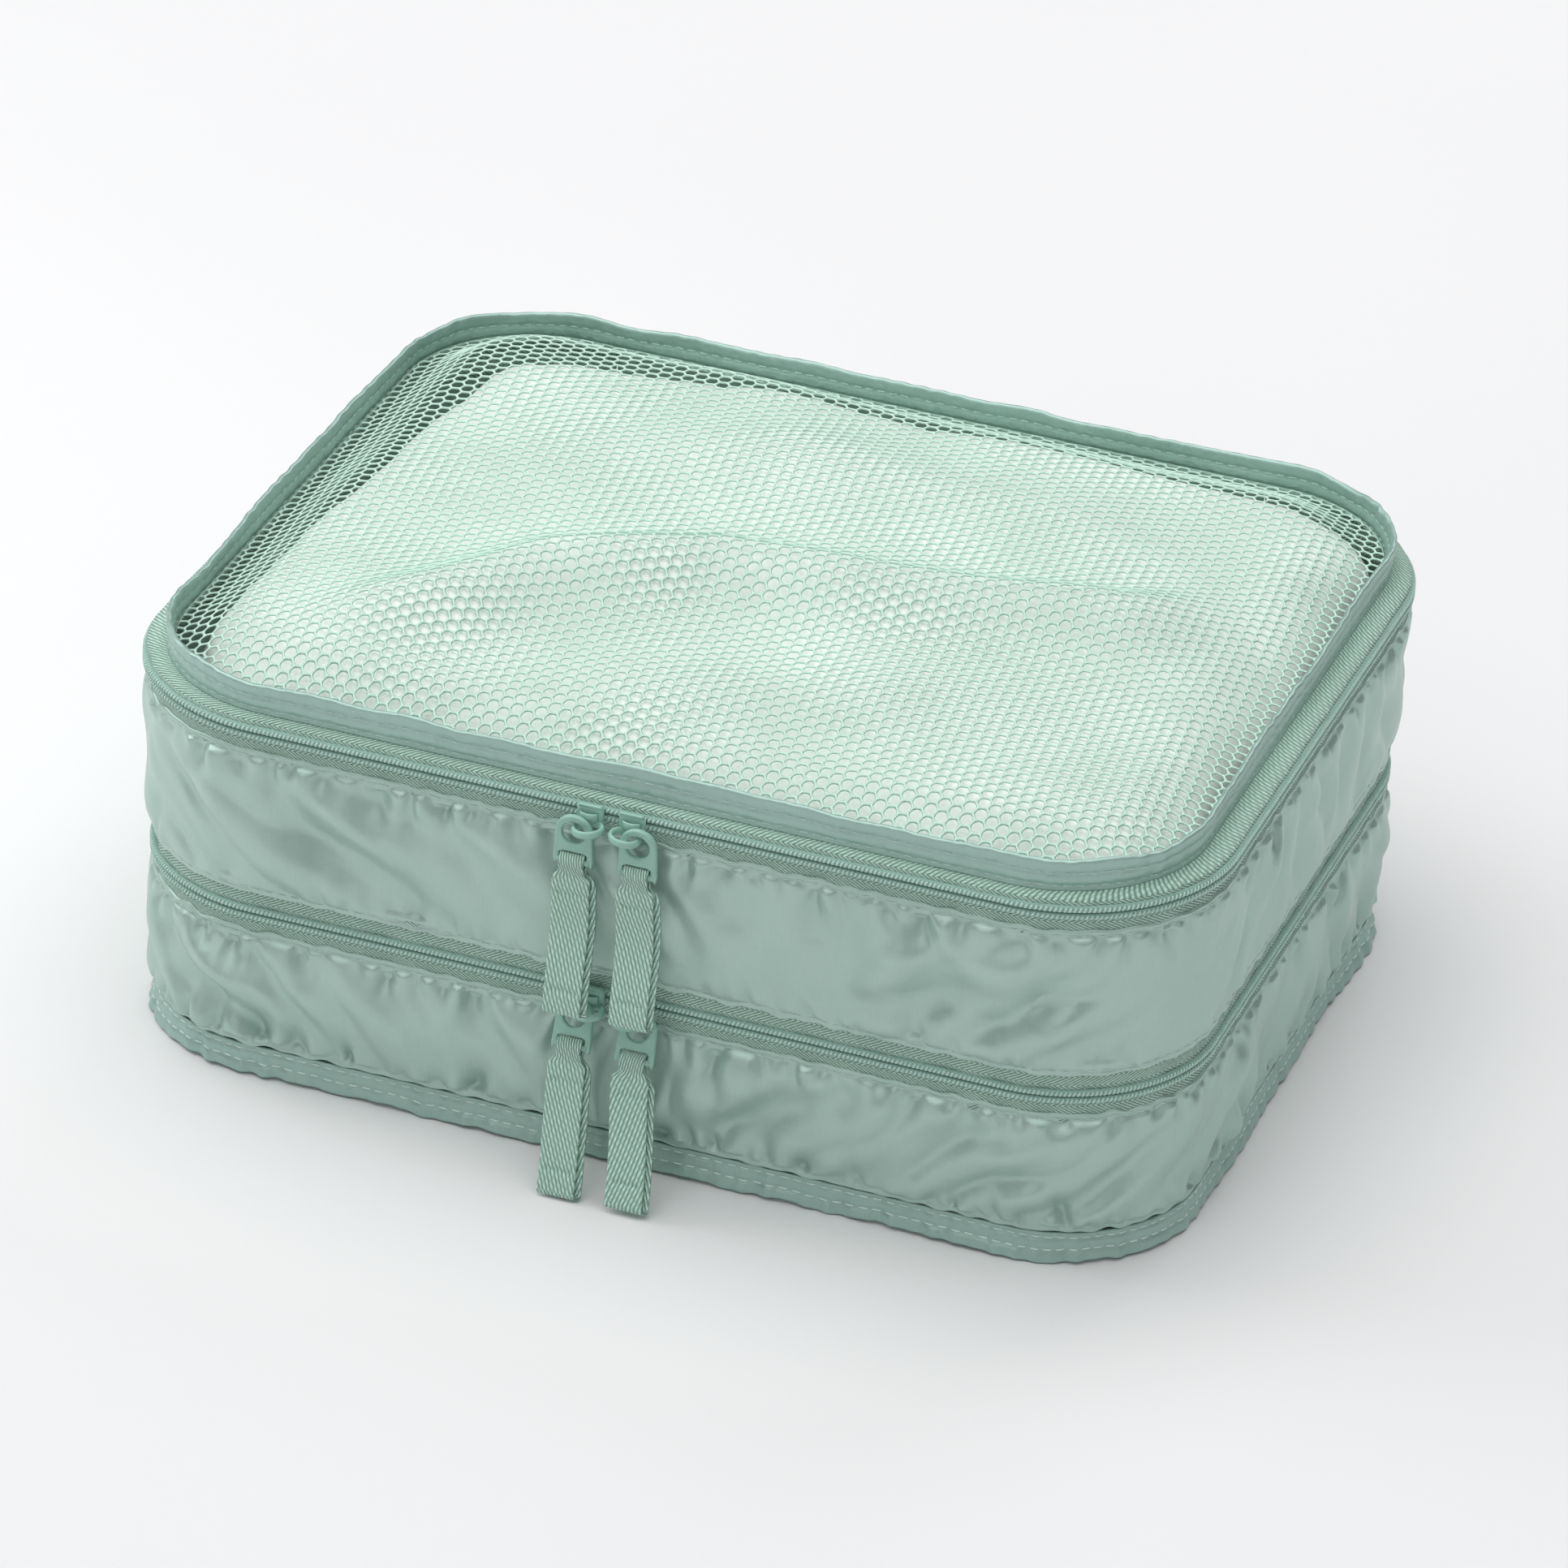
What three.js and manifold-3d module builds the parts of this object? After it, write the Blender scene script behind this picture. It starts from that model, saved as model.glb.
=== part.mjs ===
// Two-compartment packing cube, in millimetres.
//
// Frame: origin at the centre of the footprint on the surface the cube stands on,
// +X to the right, -Y to the front where the zip pulls meet, +Z up.
//
// The cube is three trays hinged along their back edges: a base compartment, a middle
// compartment and a flat mesh lid. A zip closes each joint between two trays.

import * as THREE from 'three';
import * as BufferGeometryUtils from 'three/addons/utils/BufferGeometryUtils.js';
import Module from 'manifold-3d';

const wasm = await Module();
wasm.setup();

// ---------------------------------------------------------------- driving dimensions

// Outlines of the cube seen from above: full width, full depth, corner radius, height.
const BASE = { w: 260, d: 200, r: 35, z: 0 };
const LOWER_ZIP = { w: 262, d: 206, r: 38, z: 46 };
const UPPER_ZIP = { w: 266, d: 212, r: 41, z: 96 };
const RIM = { w: 254, d: 206, r: 36, z: 107.5 };

const GAP = 0.3; // clearance between pieces that are sewn or clipped together
const CLOTH = 0.7; // nylon wall
const TAPE = 0.6; // woven zip tape
const FLANGE_HEIGHT = 8; // bound seam that stands up round the lid and down round the base
const FLANGE_THICKNESS = 2.4;

const LOWER_TAPE_SHOWS = 4.7; // zip tape between the zip's centre line and the cloth below
const UPPER_TAPE_SHOWS = 5.4; // and the cloth above
const TAPE_TUCK = 3; // tape hidden behind the cloth it is sewn to
const COIL_HEIGHT = 2.2; // one half of the closed coil
const COIL_THICKNESS = 1.6;
const ZIP_SLOT = 1.2; // slot between the two halves, where the slider's post runs
const ZIP_END_X = 85; // the zips stop on the back face, this far from the middle

const DIVIDER_Z = 52; // cloth floor between the two compartments
const PANEL = 1; // bottom panel and divider
const MESH_EDGE_Z = 101; // lid mesh where it meets the bound rim
const MESH_CROWN_Z = 111; // and at the middle of the lid
const MESH = 0.8;

const SLIDER = { length: 8.8, height: 7.2, plate: 1.3, inner: 1, innerHeight: 5.8, post: 0.6 };
const LOOP = { half: 3.3, reach: 3, bar: 0.8, drop: 2.2, shift: 0.5 }; // ring on the slider
const TAB = { hole: 2.9, rim: 4.5, thickness: 1.5, half: 4.8, barDrop: 7.3, bar: 0.8, sag: 1.6 };
const TAB_LEG = { inner: 3.3, drop: 1.4 }; // two legs beside the webbing, below the bar
const WEBBING = { width: 9.2, neck: 6, thickness: 2.6, fold: 0.9, length: 43 };
const MEET_X = { upper: -2.2, lower: -1.4 }; // where the two sliders of each zip meet
const LOWER_LEAN = Math.PI * 16.5 / 180; // the lower pulls lean out and rest on the floor

const CORNER_STEPS = 6;

// Colour and roughness of each material.
const FINISH = {
  cloth: [0x9bb5ab, 0.5],
  binding: [0x879f99, 0.6],
  tape: [0xa9cdbd, 0.75],
  coil: [0x93b3a8, 0.45],
  mesh: [0xd2eadd, 0.7],
  lining: [0xb9c9c2, 0.55],
  pull: [0xa3cbbd, 0.45],
  webbing: [0xa9cdbd, 0.8],
};

// ---------------------------------------------------------------- outlines

/** Outline that lies between two others, at height z. */
function between(lower, upper, z) {
  const t = (z - lower.z) / (upper.z - lower.z);
  const mix = (key) => lower[key] + (upper[key] - lower[key]) * t;
  return { w: mix('w'), d: mix('d'), r: mix('r'), z };
}

/** The same outline moved outwards, or inwards when the distance is negative. */
function grow(outline, distance, z = outline.z) {
  return {
    w: outline.w + 2 * distance,
    d: outline.d + 2 * distance,
    r: outline.r + distance,
    z,
  };
}

/** Points of one rounded rectangle, from the middle of its back edge round to the same place. */
function outlinePoints({ w, d, r }, backX) {
  const points = [];
  if (backX > 0) points.push([backX, d / 2]);
  const corners = [[1, 1, 90], [1, -1, 0], [-1, -1, -90], [-1, 1, -180]];
  for (const [sx, sy, start] of corners) {
    for (let i = 0; i <= CORNER_STEPS; i += 1) {
      const angle = THREE.MathUtils.degToRad(start - 90 * i / CORNER_STEPS);
      points.push([
        sx * (w / 2 - r) + r * Math.cos(angle),
        sy * (d / 2 - r) + r * Math.sin(angle),
      ]);
    }
  }
  if (backX > 0) points.push([-backX, d / 2]);
  return points;
}

/** Geometry from a flat list of corner positions and a list of triangles. */
function indexed(positions, triangles) {
  const geometry = new THREE.BufferGeometry();
  geometry.setAttribute('position', new THREE.Float32BufferAttribute(positions, 3));
  geometry.setIndex(triangles);
  return geometry;
}

/**
 * Band that runs round the cube. Its section is a closed list of outlines, in order up the
 * outer face and down the inner one. With backX above 0 it is open at the back.
 */
function band(section, backX = 0) {
  const rows = section.map((outline) => outlinePoints(outline, backX));
  const count = rows[0].length;
  const sides = section.length;
  const positions = rows.flatMap((row, side) => row.flatMap(([x, y]) => [x, y, section[side].z]));
  const at = (side, step) => (side % sides) * count + (step % count);
  const triangles = [];
  const last = backX > 0 ? count - 1 : count;
  for (let side = 0; side < sides; side += 1) {
    for (let step = 0; step < last; step += 1) {
      triangles.push(at(side, step), at(side + 1, step), at(side, step + 1));
      triangles.push(at(side + 1, step), at(side + 1, step + 1), at(side, step + 1));
    }
  }
  if (backX > 0) {
    for (let side = 1; side < sides - 1; side += 1) {
      triangles.push(at(0, 0), at(side + 1, 0), at(side, 0));
      triangles.push(at(0, last), at(side, last), at(side + 1, last));
    }
  }
  return indexed(positions, triangles);
}

/** Solid between a stack of outlines, closed by a fan at the bottom and the top. */
function stack(outlines, bottomZ, topZ) {
  const rows = outlines.map((outline) => outlinePoints(outline, 0));
  const count = rows[0].length;
  const positions = rows.flatMap((row, i) => row.flatMap(([x, y]) => [x, y, outlines[i].z]));
  const bottom = rows.length * count;
  positions.push(0, 0, bottomZ, 0, 0, topZ);
  const triangles = [];
  for (let i = 0; i < rows.length - 1; i += 1) {
    for (let step = 0; step < count; step += 1) {
      const next = (step + 1) % count;
      const low = i * count;
      const high = low + count;
      triangles.push(low + step, high + step, low + next);
      triangles.push(high + step, high + next, low + next);
    }
  }
  const top = (rows.length - 1) * count;
  for (let step = 0; step < count; step += 1) {
    const next = (step + 1) % count;
    triangles.push(bottom, step, next);
    triangles.push(bottom + 1, top + next, top + step);
  }
  return indexed(positions, triangles);
}

// ---------------------------------------------------------------- solids

function toManifold(geometry) {
  const bare = geometry.clone();
  bare.deleteAttribute('normal');
  bare.deleteAttribute('uv');
  const merged = BufferGeometryUtils.mergeVertices(bare, 1e-4);
  return new wasm.Manifold(new wasm.Mesh({
    numProp: 3,
    vertProperties: new Float32Array(merged.attributes.position.array),
    triVerts: new Uint32Array(merged.index.array),
  }));
}

function fromManifold(solid) {
  const mesh = solid.getMesh();
  return indexed(Array.from(mesh.vertProperties), Array.from(mesh.triVerts));
}

function join(...geometries) {
  return fromManifold(geometries.map(toManifold).reduce((sum, next) => sum.add(next)));
}

/** Extrudes a shape drawn in X and Z along Y, centred on y = middle. */
function plateXZ(shape, thickness, middle) {
  const geometry = new THREE.ExtrudeGeometry(shape, {
    depth: thickness,
    bevelEnabled: false,
    curveSegments: 8,
  });
  return geometry.rotateX(Math.PI / 2).translate(0, middle + thickness / 2, 0);
}

function roundedRectangle(width, height, radius) {
  const x = width / 2;
  const y = height / 2;
  const shape = new THREE.Shape();
  shape.moveTo(-x + radius, -y);
  shape.lineTo(x - radius, -y);
  shape.absarc(x - radius, -y + radius, radius, -Math.PI / 2, 0);
  shape.lineTo(x, y - radius);
  shape.absarc(x - radius, y - radius, radius, 0, Math.PI / 2);
  shape.lineTo(-x + radius, y);
  shape.absarc(-x + radius, y - radius, radius, Math.PI / 2, Math.PI);
  shape.lineTo(-x, -y + radius);
  shape.absarc(-x + radius, -y + radius, radius, Math.PI, 1.5 * Math.PI);
  return shape;
}

const group = new THREE.Group();
group.name = 'packing_cube';

function add(name, geometry, [color, roughness], parent = group) {
  const material = new THREE.MeshStandardMaterial({ color, roughness, metalness: 0 });
  const mesh = new THREE.Mesh(geometry, material);
  mesh.name = name;
  parent.add(mesh);
  return mesh;
}

// ---------------------------------------------------------------- cloth walls and panels

const baseSeamZ = BASE.z + FLANGE_HEIGHT;
const rimSeamZ = RIM.z - FLANGE_HEIGHT;

/** Cloth wall from one height to another, following the cube's own outline. */
function clothWall(lower, upper, fromZ, toZ) {
  return band([
    between(lower, upper, fromZ),
    between(lower, upper, toZ),
    grow(between(lower, upper, toZ), -CLOTH),
    grow(between(lower, upper, fromZ), -CLOTH),
  ]);
}

/** Bound seam standing on edge, a little rounded along its free edge. */
function boundSeam(outline, seamZ, freeZ) {
  const shoulder = freeZ + Math.sign(seamZ - freeZ) * FLANGE_THICKNESS / 2;
  const section = [
    grow(outline, 0, seamZ),
    grow(outline, 0, shoulder),
    grow(outline, -FLANGE_THICKNESS / 4, freeZ),
    grow(outline, -FLANGE_THICKNESS * 3 / 4, freeZ),
    grow(outline, -FLANGE_THICKNESS, shoulder),
    grow(outline, -FLANGE_THICKNESS, seamZ),
  ];
  return band(freeZ > seamZ ? section : section.reverse());
}

add('base_rim_binding', boundSeam(BASE, baseSeamZ, BASE.z), FINISH.binding);
add('lower_gusset', clothWall(
  BASE,
  LOWER_ZIP,
  baseSeamZ + GAP,
  LOWER_ZIP.z - LOWER_TAPE_SHOWS,
), FINISH.cloth);
add('upper_gusset', clothWall(
  LOWER_ZIP,
  UPPER_ZIP,
  LOWER_ZIP.z + UPPER_TAPE_SHOWS,
  UPPER_ZIP.z - LOWER_TAPE_SHOWS,
), FINISH.cloth);
add('lid_rim_binding', boundSeam(RIM, rimSeamZ, RIM.z), FINISH.binding);

const bottomOutline = grow(BASE, -FLANGE_THICKNESS - GAP);
add('bottom_panel', stack([bottomOutline, grow(bottomOutline, 0, PANEL)], 0, PANEL), FINISH.cloth);

const dividerOutline = grow(between(LOWER_ZIP, UPPER_ZIP, DIVIDER_Z), -CLOTH - TAPE - 2 * GAP);
add('divider_panel', stack(
  [grow(dividerOutline, 0, DIVIDER_Z), grow(dividerOutline, 0, DIVIDER_Z + PANEL)],
  DIVIDER_Z,
  DIVIDER_Z + PANEL,
), FINISH.lining);

// ---------------------------------------------------------------- lid mesh

/** Height of the lid mesh at a fraction of the way in from its edge. */
function crown(inward) {
  return MESH_EDGE_Z + (MESH_CROWN_Z - MESH_EDGE_Z) * Math.sin(Math.PI / 2 * inward);
}

/** Thin crowned sheet: up its underside and back down its top. */
function meshPanel() {
  const edge = grow(RIM, -FLANGE_THICKNESS - GAP);
  const fractions = [0, 0.08, 0.2, 0.4, 0.65];
  const inset = (fraction, rise) => ({
    w: edge.w * (1 - fraction),
    d: edge.d * (1 - fraction),
    r: edge.r * (1 - fraction),
    z: crown(fraction) + rise,
  });
  const under = fractions.map((fraction) => inset(fraction, -MESH)).reverse();
  const over = fractions.map((fraction) => inset(fraction, 0));
  return stack([...under, ...over], crown(1) - MESH, crown(1));
}

add('lid_mesh_panel', meshPanel(), FINISH.mesh);

// ---------------------------------------------------------------- zips

/** Half a coil: a low ridge that stands on the face of its tape. */
function coilHalf(zip, side) {
  const inner = -CLOTH / 2 - GAP;
  const near = zip.z + side * ZIP_SLOT / 2;
  const far = near + side * COIL_HEIGHT;
  const middle = (near + far) / 2;
  const section = [
    grow(zip, inner, near),
    grow(zip, inner + COIL_THICKNESS * 0.6, near),
    grow(zip, inner + COIL_THICKNESS, middle),
    grow(zip, inner + COIL_THICKNESS * 0.6, far),
    grow(zip, inner, far),
  ];
  return band(side > 0 ? section : section.reverse(), ZIP_END_X);
}

/** Zip tape behind its coil, running on behind the cloth it is sewn to. */
function zipTape(zip, side, path) {
  const near = zip.z + side * ZIP_SLOT / 2;
  const outer = [grow(zip, -CLOTH - GAP, near), ...path];
  const section = [...outer, ...outer.map((ring) => grow(ring, -TAPE)).reverse()];
  return band(side > 0 ? section : section.reverse(), ZIP_END_X);
}

/** Edge of the tape that is tucked behind a vertical wall. */
function tuck(lower, upper, z) {
  return grow(between(lower, upper, z), -CLOTH - GAP);
}

const lowerTapeFoot = LOWER_ZIP.z - LOWER_TAPE_SHOWS - TAPE_TUCK;
const lowerTapeHead = LOWER_ZIP.z + UPPER_TAPE_SHOWS + TAPE_TUCK;
const upperTapeFoot = UPPER_ZIP.z - LOWER_TAPE_SHOWS - TAPE_TUCK;

add('lower_zip_lower_tape', zipTape(LOWER_ZIP, -1, [tuck(BASE, LOWER_ZIP, lowerTapeFoot)]), FINISH.tape);
add('lower_zip_upper_tape', zipTape(LOWER_ZIP, 1, [tuck(LOWER_ZIP, UPPER_ZIP, lowerTapeHead)]), FINISH.tape);
add('upper_zip_lower_tape', zipTape(UPPER_ZIP, -1, [tuck(LOWER_ZIP, UPPER_ZIP, upperTapeFoot)]), FINISH.tape);

// The lid's tape turns in over the top of the wall and is caught in the foot of the bound rim.
const lidTapeTurn = grow(UPPER_ZIP, -CLOTH - GAP, UPPER_ZIP.z + ZIP_SLOT / 2 + COIL_HEIGHT + GAP);
const lidTapeEdge = grow(RIM, -FLANGE_THICKNESS / 2, rimSeamZ - GAP);
add('upper_zip_upper_tape', zipTape(UPPER_ZIP, 1, [lidTapeTurn, lidTapeEdge]), FINISH.tape);

for (const [name, zip] of [['lower', LOWER_ZIP], ['upper', UPPER_ZIP]]) {
  add(`${name}_zip_lower_coil`, coilHalf(zip, -1), FINISH.coil);
  add(`${name}_zip_upper_coil`, coilHalf(zip, 1), FINISH.coil);
}

/**
 * Half of a cloth hinge, which fills the zip's band between the two ends of the zip.
 * The section is a list of [distance in from the zip's face, height] on its outer side.
 */
function hingeStrip(zip, outer) {
  const shape = new THREE.Shape();
  const back = zip.d / 2 - CLOTH - GAP;
  const inner = outer.map(([inset, z]) => [inset + CLOTH, z]).reverse();
  const points = [...outer, ...inner].map(([inset, z]) => new THREE.Vector2(back - inset, z));
  shape.setFromPoints(points);
  const width = 2 * (ZIP_END_X - GAP);
  const geometry = new THREE.ExtrudeGeometry(shape, { depth: width, bevelEnabled: false });
  return geometry.rotateX(Math.PI / 2).rotateZ(Math.PI / 2).translate(-width / 2, 0, 0);
}

const foldGap = GAP / 2; // each half of a hinge stops this far from the fold line
for (const [name, zip, topZ] of [
  ['base_hinge_strip', LOWER_ZIP, LOWER_ZIP.z - foldGap],
  ['middle_lid_hinge_strip', UPPER_ZIP, UPPER_ZIP.z - foldGap],
]) {
  add(name, hingeStrip(zip, [[0, zip.z - LOWER_TAPE_SHOWS + GAP], [0, topZ]]), FINISH.cloth);
}
add('middle_base_hinge_strip', hingeStrip(LOWER_ZIP, [
  [0, LOWER_ZIP.z + foldGap],
  [0, LOWER_ZIP.z + UPPER_TAPE_SHOWS - GAP],
]), FINISH.cloth);
const lidStripTurn = lidTapeTurn.z - GAP;
const lidStripInset = (UPPER_ZIP.d - RIM.d) / 2;
add('lid_hinge_strip', hingeStrip(UPPER_ZIP, [
  [0, UPPER_ZIP.z + foldGap],
  [0, lidStripTurn],
  [lidStripInset, rimSeamZ - GAP],
]), FINISH.cloth);

// ---------------------------------------------------------------- sliders and pulls

/** Slider round the coil, with its ring. Local origin: on the zip's centre line. */
function sliderSolid(mirror) {
  const front = -COIL_THICKNESS + CLOTH / 2 - SLIDER.plate / 2;
  const outerPlate = plateXZ(roundedRectangle(SLIDER.length, SLIDER.height, 2), SLIDER.plate, front);
  const back = CLOTH + TAPE + 2 * GAP + SLIDER.inner / 2;
  const innerPlate = plateXZ(roundedRectangle(SLIDER.length, SLIDER.innerHeight, 2), SLIDER.inner, back);
  const post = new THREE.BoxGeometry(1.6, back - front, SLIDER.post).translate(0, (back + front) / 2, 0);
  const ring = new THREE.TorusGeometry(LOOP.reach, LOOP.bar, 8, 20);
  ring.scale(LOOP.half / LOOP.reach, 1, 1);
  ring.translate(mirror * LOOP.shift, loopY(), -LOOP.drop);
  return join(outerPlate, innerPlate, post, ring);
}

/** Middle of the slider's ring, measured outwards from the zip's centre line. */
function loopY() {
  return -COIL_THICKNESS + CLOTH / 2 - SLIDER.plate - LOOP.reach + LOOP.bar;
}

/** Pull tab. Local origin: the middle of its hole, which is where it turns. */
function tabSolid() {
  const legFoot = -TAB.barDrop - TAB_LEG.drop;
  const windowTop = -TAB.barDrop + TAB.bar + 2 * GAP + WEBBING.fold;
  const shape = new THREE.Shape();
  shape.moveTo(TAB.rim, 0);
  shape.absarc(0, 0, TAB.rim, 0, Math.PI);
  for (const side of [-1, 1]) {
    const leg = [
      [TAB.half, -TAB.barDrop],
      [(TAB.half + TAB_LEG.inner) / 2, legFoot],
      [TAB_LEG.inner, -TAB.barDrop],
      [TAB_LEG.inner, windowTop],
    ];
    for (const [x, z] of side < 0 ? leg : leg.reverse()) shape.lineTo(side * x, z);
  }
  shape.holes.push(new THREE.Path().absarc(0, 0, TAB.hole, 0, 2 * Math.PI, true));
  const bar = new THREE.CylinderGeometry(TAB.bar, TAB.bar, TAB.half + TAB_LEG.inner, 10);
  bar.rotateZ(Math.PI / 2).translate(0, 0, -TAB.barDrop);
  return join(plateXZ(shape, TAB.thickness, 0), bar);
}

/** Webbing folded double round the tab's bar. Local origin: the middle of the bar. */
function webbingSolid() {
  const outer = TAB.bar + GAP + WEBBING.fold;
  const half = WEBBING.thickness / 2;
  const foot = -(WEBBING.length - TAB.barDrop);
  const shoulder = -TAB_LEG.drop - 2 * GAP;
  const neckFoot = shoulder - half;
  const fold = new THREE.Shape();
  fold.moveTo(outer, 0);
  fold.absarc(0, 0, outer, 0, Math.PI);
  fold.lineTo(-half, shoulder);
  fold.lineTo(-half, neckFoot);
  fold.lineTo(half, neckFoot);
  fold.lineTo(half, shoulder);
  fold.holes.push(new THREE.Path().absarc(0, 0, TAB.bar + GAP, 0, 2 * Math.PI, true));
  const options = { depth: WEBBING.neck, bevelEnabled: false, curveSegments: 6 };
  const neck = new THREE.ExtrudeGeometry(fold, options);
  neck.rotateX(Math.PI / 2).rotateZ(Math.PI / 2).translate(-WEBBING.neck / 2, 0, 0);
  const strip = new THREE.Shape();
  strip.moveTo(-WEBBING.neck / 2, shoulder);
  strip.lineTo(-WEBBING.width / 2, 2 * shoulder);
  strip.lineTo(-WEBBING.width / 2, foot);
  strip.lineTo(WEBBING.width / 2, foot);
  strip.lineTo(WEBBING.width / 2, 2 * shoulder);
  strip.lineTo(WEBBING.neck / 2, shoulder);
  return join(neck, plateXZ(strip, WEBBING.thickness, 0));
}

/** One slider with its tab and webbing; side is -1 for the left one of a pair. */
function addPull(level, zip, side, lean) {
  const name = `${level}_${side < 0 ? 'left' : 'right'}`;
  const plateX = MEET_X[level] + side * (SLIDER.length / 2 + 2 * GAP);
  const slider = add(`${name}_slider`, sliderSolid(-side), FINISH.pull);
  slider.position.set(plateX, -zip.d / 2, zip.z);
  const pull = new THREE.Group();
  pull.position.set(
    plateX - side * LOOP.shift + side * LOOP.half,
    -zip.d / 2 + loopY(),
    zip.z - LOOP.drop - TAB.sag,
  );
  pull.rotation.x = -lean;
  group.add(pull);
  add(`${name}_pull_tab`, tabSolid(), FINISH.pull, pull);
  const webbing = add(`${name}_pull_webbing`, webbingSolid(), FINISH.webbing, pull);
  webbing.position.z = -TAB.barDrop;
}

for (const side of [-1, 1]) {
  addPull('upper', UPPER_ZIP, side, 0);
  addPull('lower', LOWER_ZIP, side, LOWER_LEAN);
}

export default group;
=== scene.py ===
"""Looks of a two-compartment packing cube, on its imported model.

Lengths are in millimetres and become metres where a mesh, lamp or camera is made.
The frame is the model's: +X to the right, -Y to the front, +Z up, floor at 0.
"""

import math

import bmesh
import bpy
import numpy as np
from mathutils import Matrix, Vector


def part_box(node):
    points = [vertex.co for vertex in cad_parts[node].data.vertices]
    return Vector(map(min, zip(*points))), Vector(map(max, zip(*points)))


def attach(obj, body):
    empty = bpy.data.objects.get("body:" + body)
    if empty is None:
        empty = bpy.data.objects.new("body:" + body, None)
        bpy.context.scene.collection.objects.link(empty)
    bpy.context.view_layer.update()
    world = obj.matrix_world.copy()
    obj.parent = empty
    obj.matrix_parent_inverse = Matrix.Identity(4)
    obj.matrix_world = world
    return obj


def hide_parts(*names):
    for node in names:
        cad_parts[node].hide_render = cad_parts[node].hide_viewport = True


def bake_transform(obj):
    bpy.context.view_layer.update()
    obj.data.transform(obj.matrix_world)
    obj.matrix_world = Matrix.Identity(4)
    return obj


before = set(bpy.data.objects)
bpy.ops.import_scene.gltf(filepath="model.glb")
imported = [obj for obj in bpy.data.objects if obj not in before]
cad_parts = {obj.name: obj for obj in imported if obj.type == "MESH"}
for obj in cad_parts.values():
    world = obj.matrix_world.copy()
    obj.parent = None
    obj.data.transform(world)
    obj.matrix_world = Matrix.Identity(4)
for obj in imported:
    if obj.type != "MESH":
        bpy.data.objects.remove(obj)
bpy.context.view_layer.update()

MM = 0.001
TAU = 2 * math.pi


# ---------------------------------------------------------------- camera, floor and lights

CAMERA = {
    "azimuth": 19.165,
    "elevation": 29.87,
    "roll": 2.916,
    "lens": 200.37,
    "distance": 2086.5,
    "target": (1.44, -0.53, 50),
    "sensor": 36,
}


def make_camera():
    azimuth = math.radians(CAMERA["azimuth"])
    elevation = math.radians(CAMERA["elevation"])
    roll = math.radians(CAMERA["roll"])
    back = Vector((
        math.sin(azimuth) * math.cos(elevation),
        -math.cos(azimuth) * math.cos(elevation),
        math.sin(elevation),
    ))
    level = Vector((math.cos(azimuth), math.sin(azimuth), 0))
    upright = back.cross(level)
    right = level * math.cos(roll) + upright * math.sin(roll)
    up = upright * math.cos(roll) - level * math.sin(roll)
    camera = bpy.data.objects.new("camera", bpy.data.cameras.new("camera"))
    camera.data.sensor_width = CAMERA["sensor"]
    camera.data.lens = CAMERA["lens"]
    camera.data.clip_start = 0.05
    camera.data.clip_end = 20
    turn = Matrix((right, up, back)).transposed().to_4x4()
    place = (Vector(CAMERA["target"]) + back * CAMERA["distance"]) * MM
    camera.matrix_world = Matrix.Translation(place) @ turn
    bpy.context.scene.collection.objects.link(camera)
    bpy.context.scene.camera = camera


def aim(lamp, place, target):
    lamp.location = Vector(place) * MM
    direction = Vector(target) - Vector(place)
    lamp.rotation_mode = "QUATERNION"
    lamp.rotation_quaternion = direction.to_track_quat("-Z", "Y")
    bpy.context.scene.collection.objects.link(lamp)


def area_lamp(name, place, target, size, power, color):
    data = bpy.data.lights.new(name, "AREA")
    data.shape = "DISK"
    data.size = size * MM
    data.energy = power
    data.color = color
    aim(bpy.data.objects.new(name, data), place, target)


def far_lamp(name, place, strength, spread):
    data = bpy.data.lights.new(name, "SUN")
    data.energy = strength
    data.angle = math.radians(spread)
    aim(bpy.data.objects.new(name, data), place, (0, 0, 0))


# Name, place, strength, and spread in degrees.
SUNS = [
    ("overhead", (0, 0, 1500), 1.55, 70),
    ("left_daylight", (-850, 150, 1400), 0.88, 70),
    ("right_fill", (900, -500, 900), 0.38, 60),
    ("front_fill", (-180, -1150, 720), 0.44, 45),
]
# Name, place, target, width, power and colour.
SOFTBOXES = [
    ("left_softbox", (-700, -100, 520), (0, 0, 50), 500, 1.6, (1, 1, 1)),
    ("back_softbox", (250, 1700, 1500), (0, 300, 50), 1200, 9, (0.98, 0.99, 1)),
]
# The sky's strength, from a little above the horizon to nearly overhead.
SKY = {"From Min": 0.1, "From Max": 0.85, "To Min": 0.0, "To Max": 0.06}
SKY_COLOR = (0.985, 0.985, 1.0, 1)


def studio_world():
    """Pale sky that is dim near the horizon and bright overhead, as under a large softbox."""
    world = bpy.data.worlds.new("studio")
    world.use_nodes = True
    tree = world.node_tree
    background = tree.nodes["Background"]
    background.inputs["Color"].default_value = SKY_COLOR
    direction = tree.nodes.new("ShaderNodeTexCoord")
    split = tree.nodes.new("ShaderNodeSeparateXYZ")
    rise = tree.nodes.new("ShaderNodeMapRange")
    rise.interpolation_type = "SMOOTHSTEP"
    for socket, value in SKY.items():
        rise.inputs[socket].default_value = value
    tree.links.new(direction.outputs["Generated"], split.inputs[0])
    tree.links.new(split.outputs["Z"], rise.inputs["Value"])
    tree.links.new(rise.outputs["Result"], background.inputs["Strength"])
    return world


def make_lights():
    for sun in SUNS:
        far_lamp(*sun)
    for softbox in SOFTBOXES:
        area_lamp(*softbox)
    bpy.context.scene.world = studio_world()
    bpy.context.scene.view_settings.view_transform = "Standard"


# ---------------------------------------------------------------- materials

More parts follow.
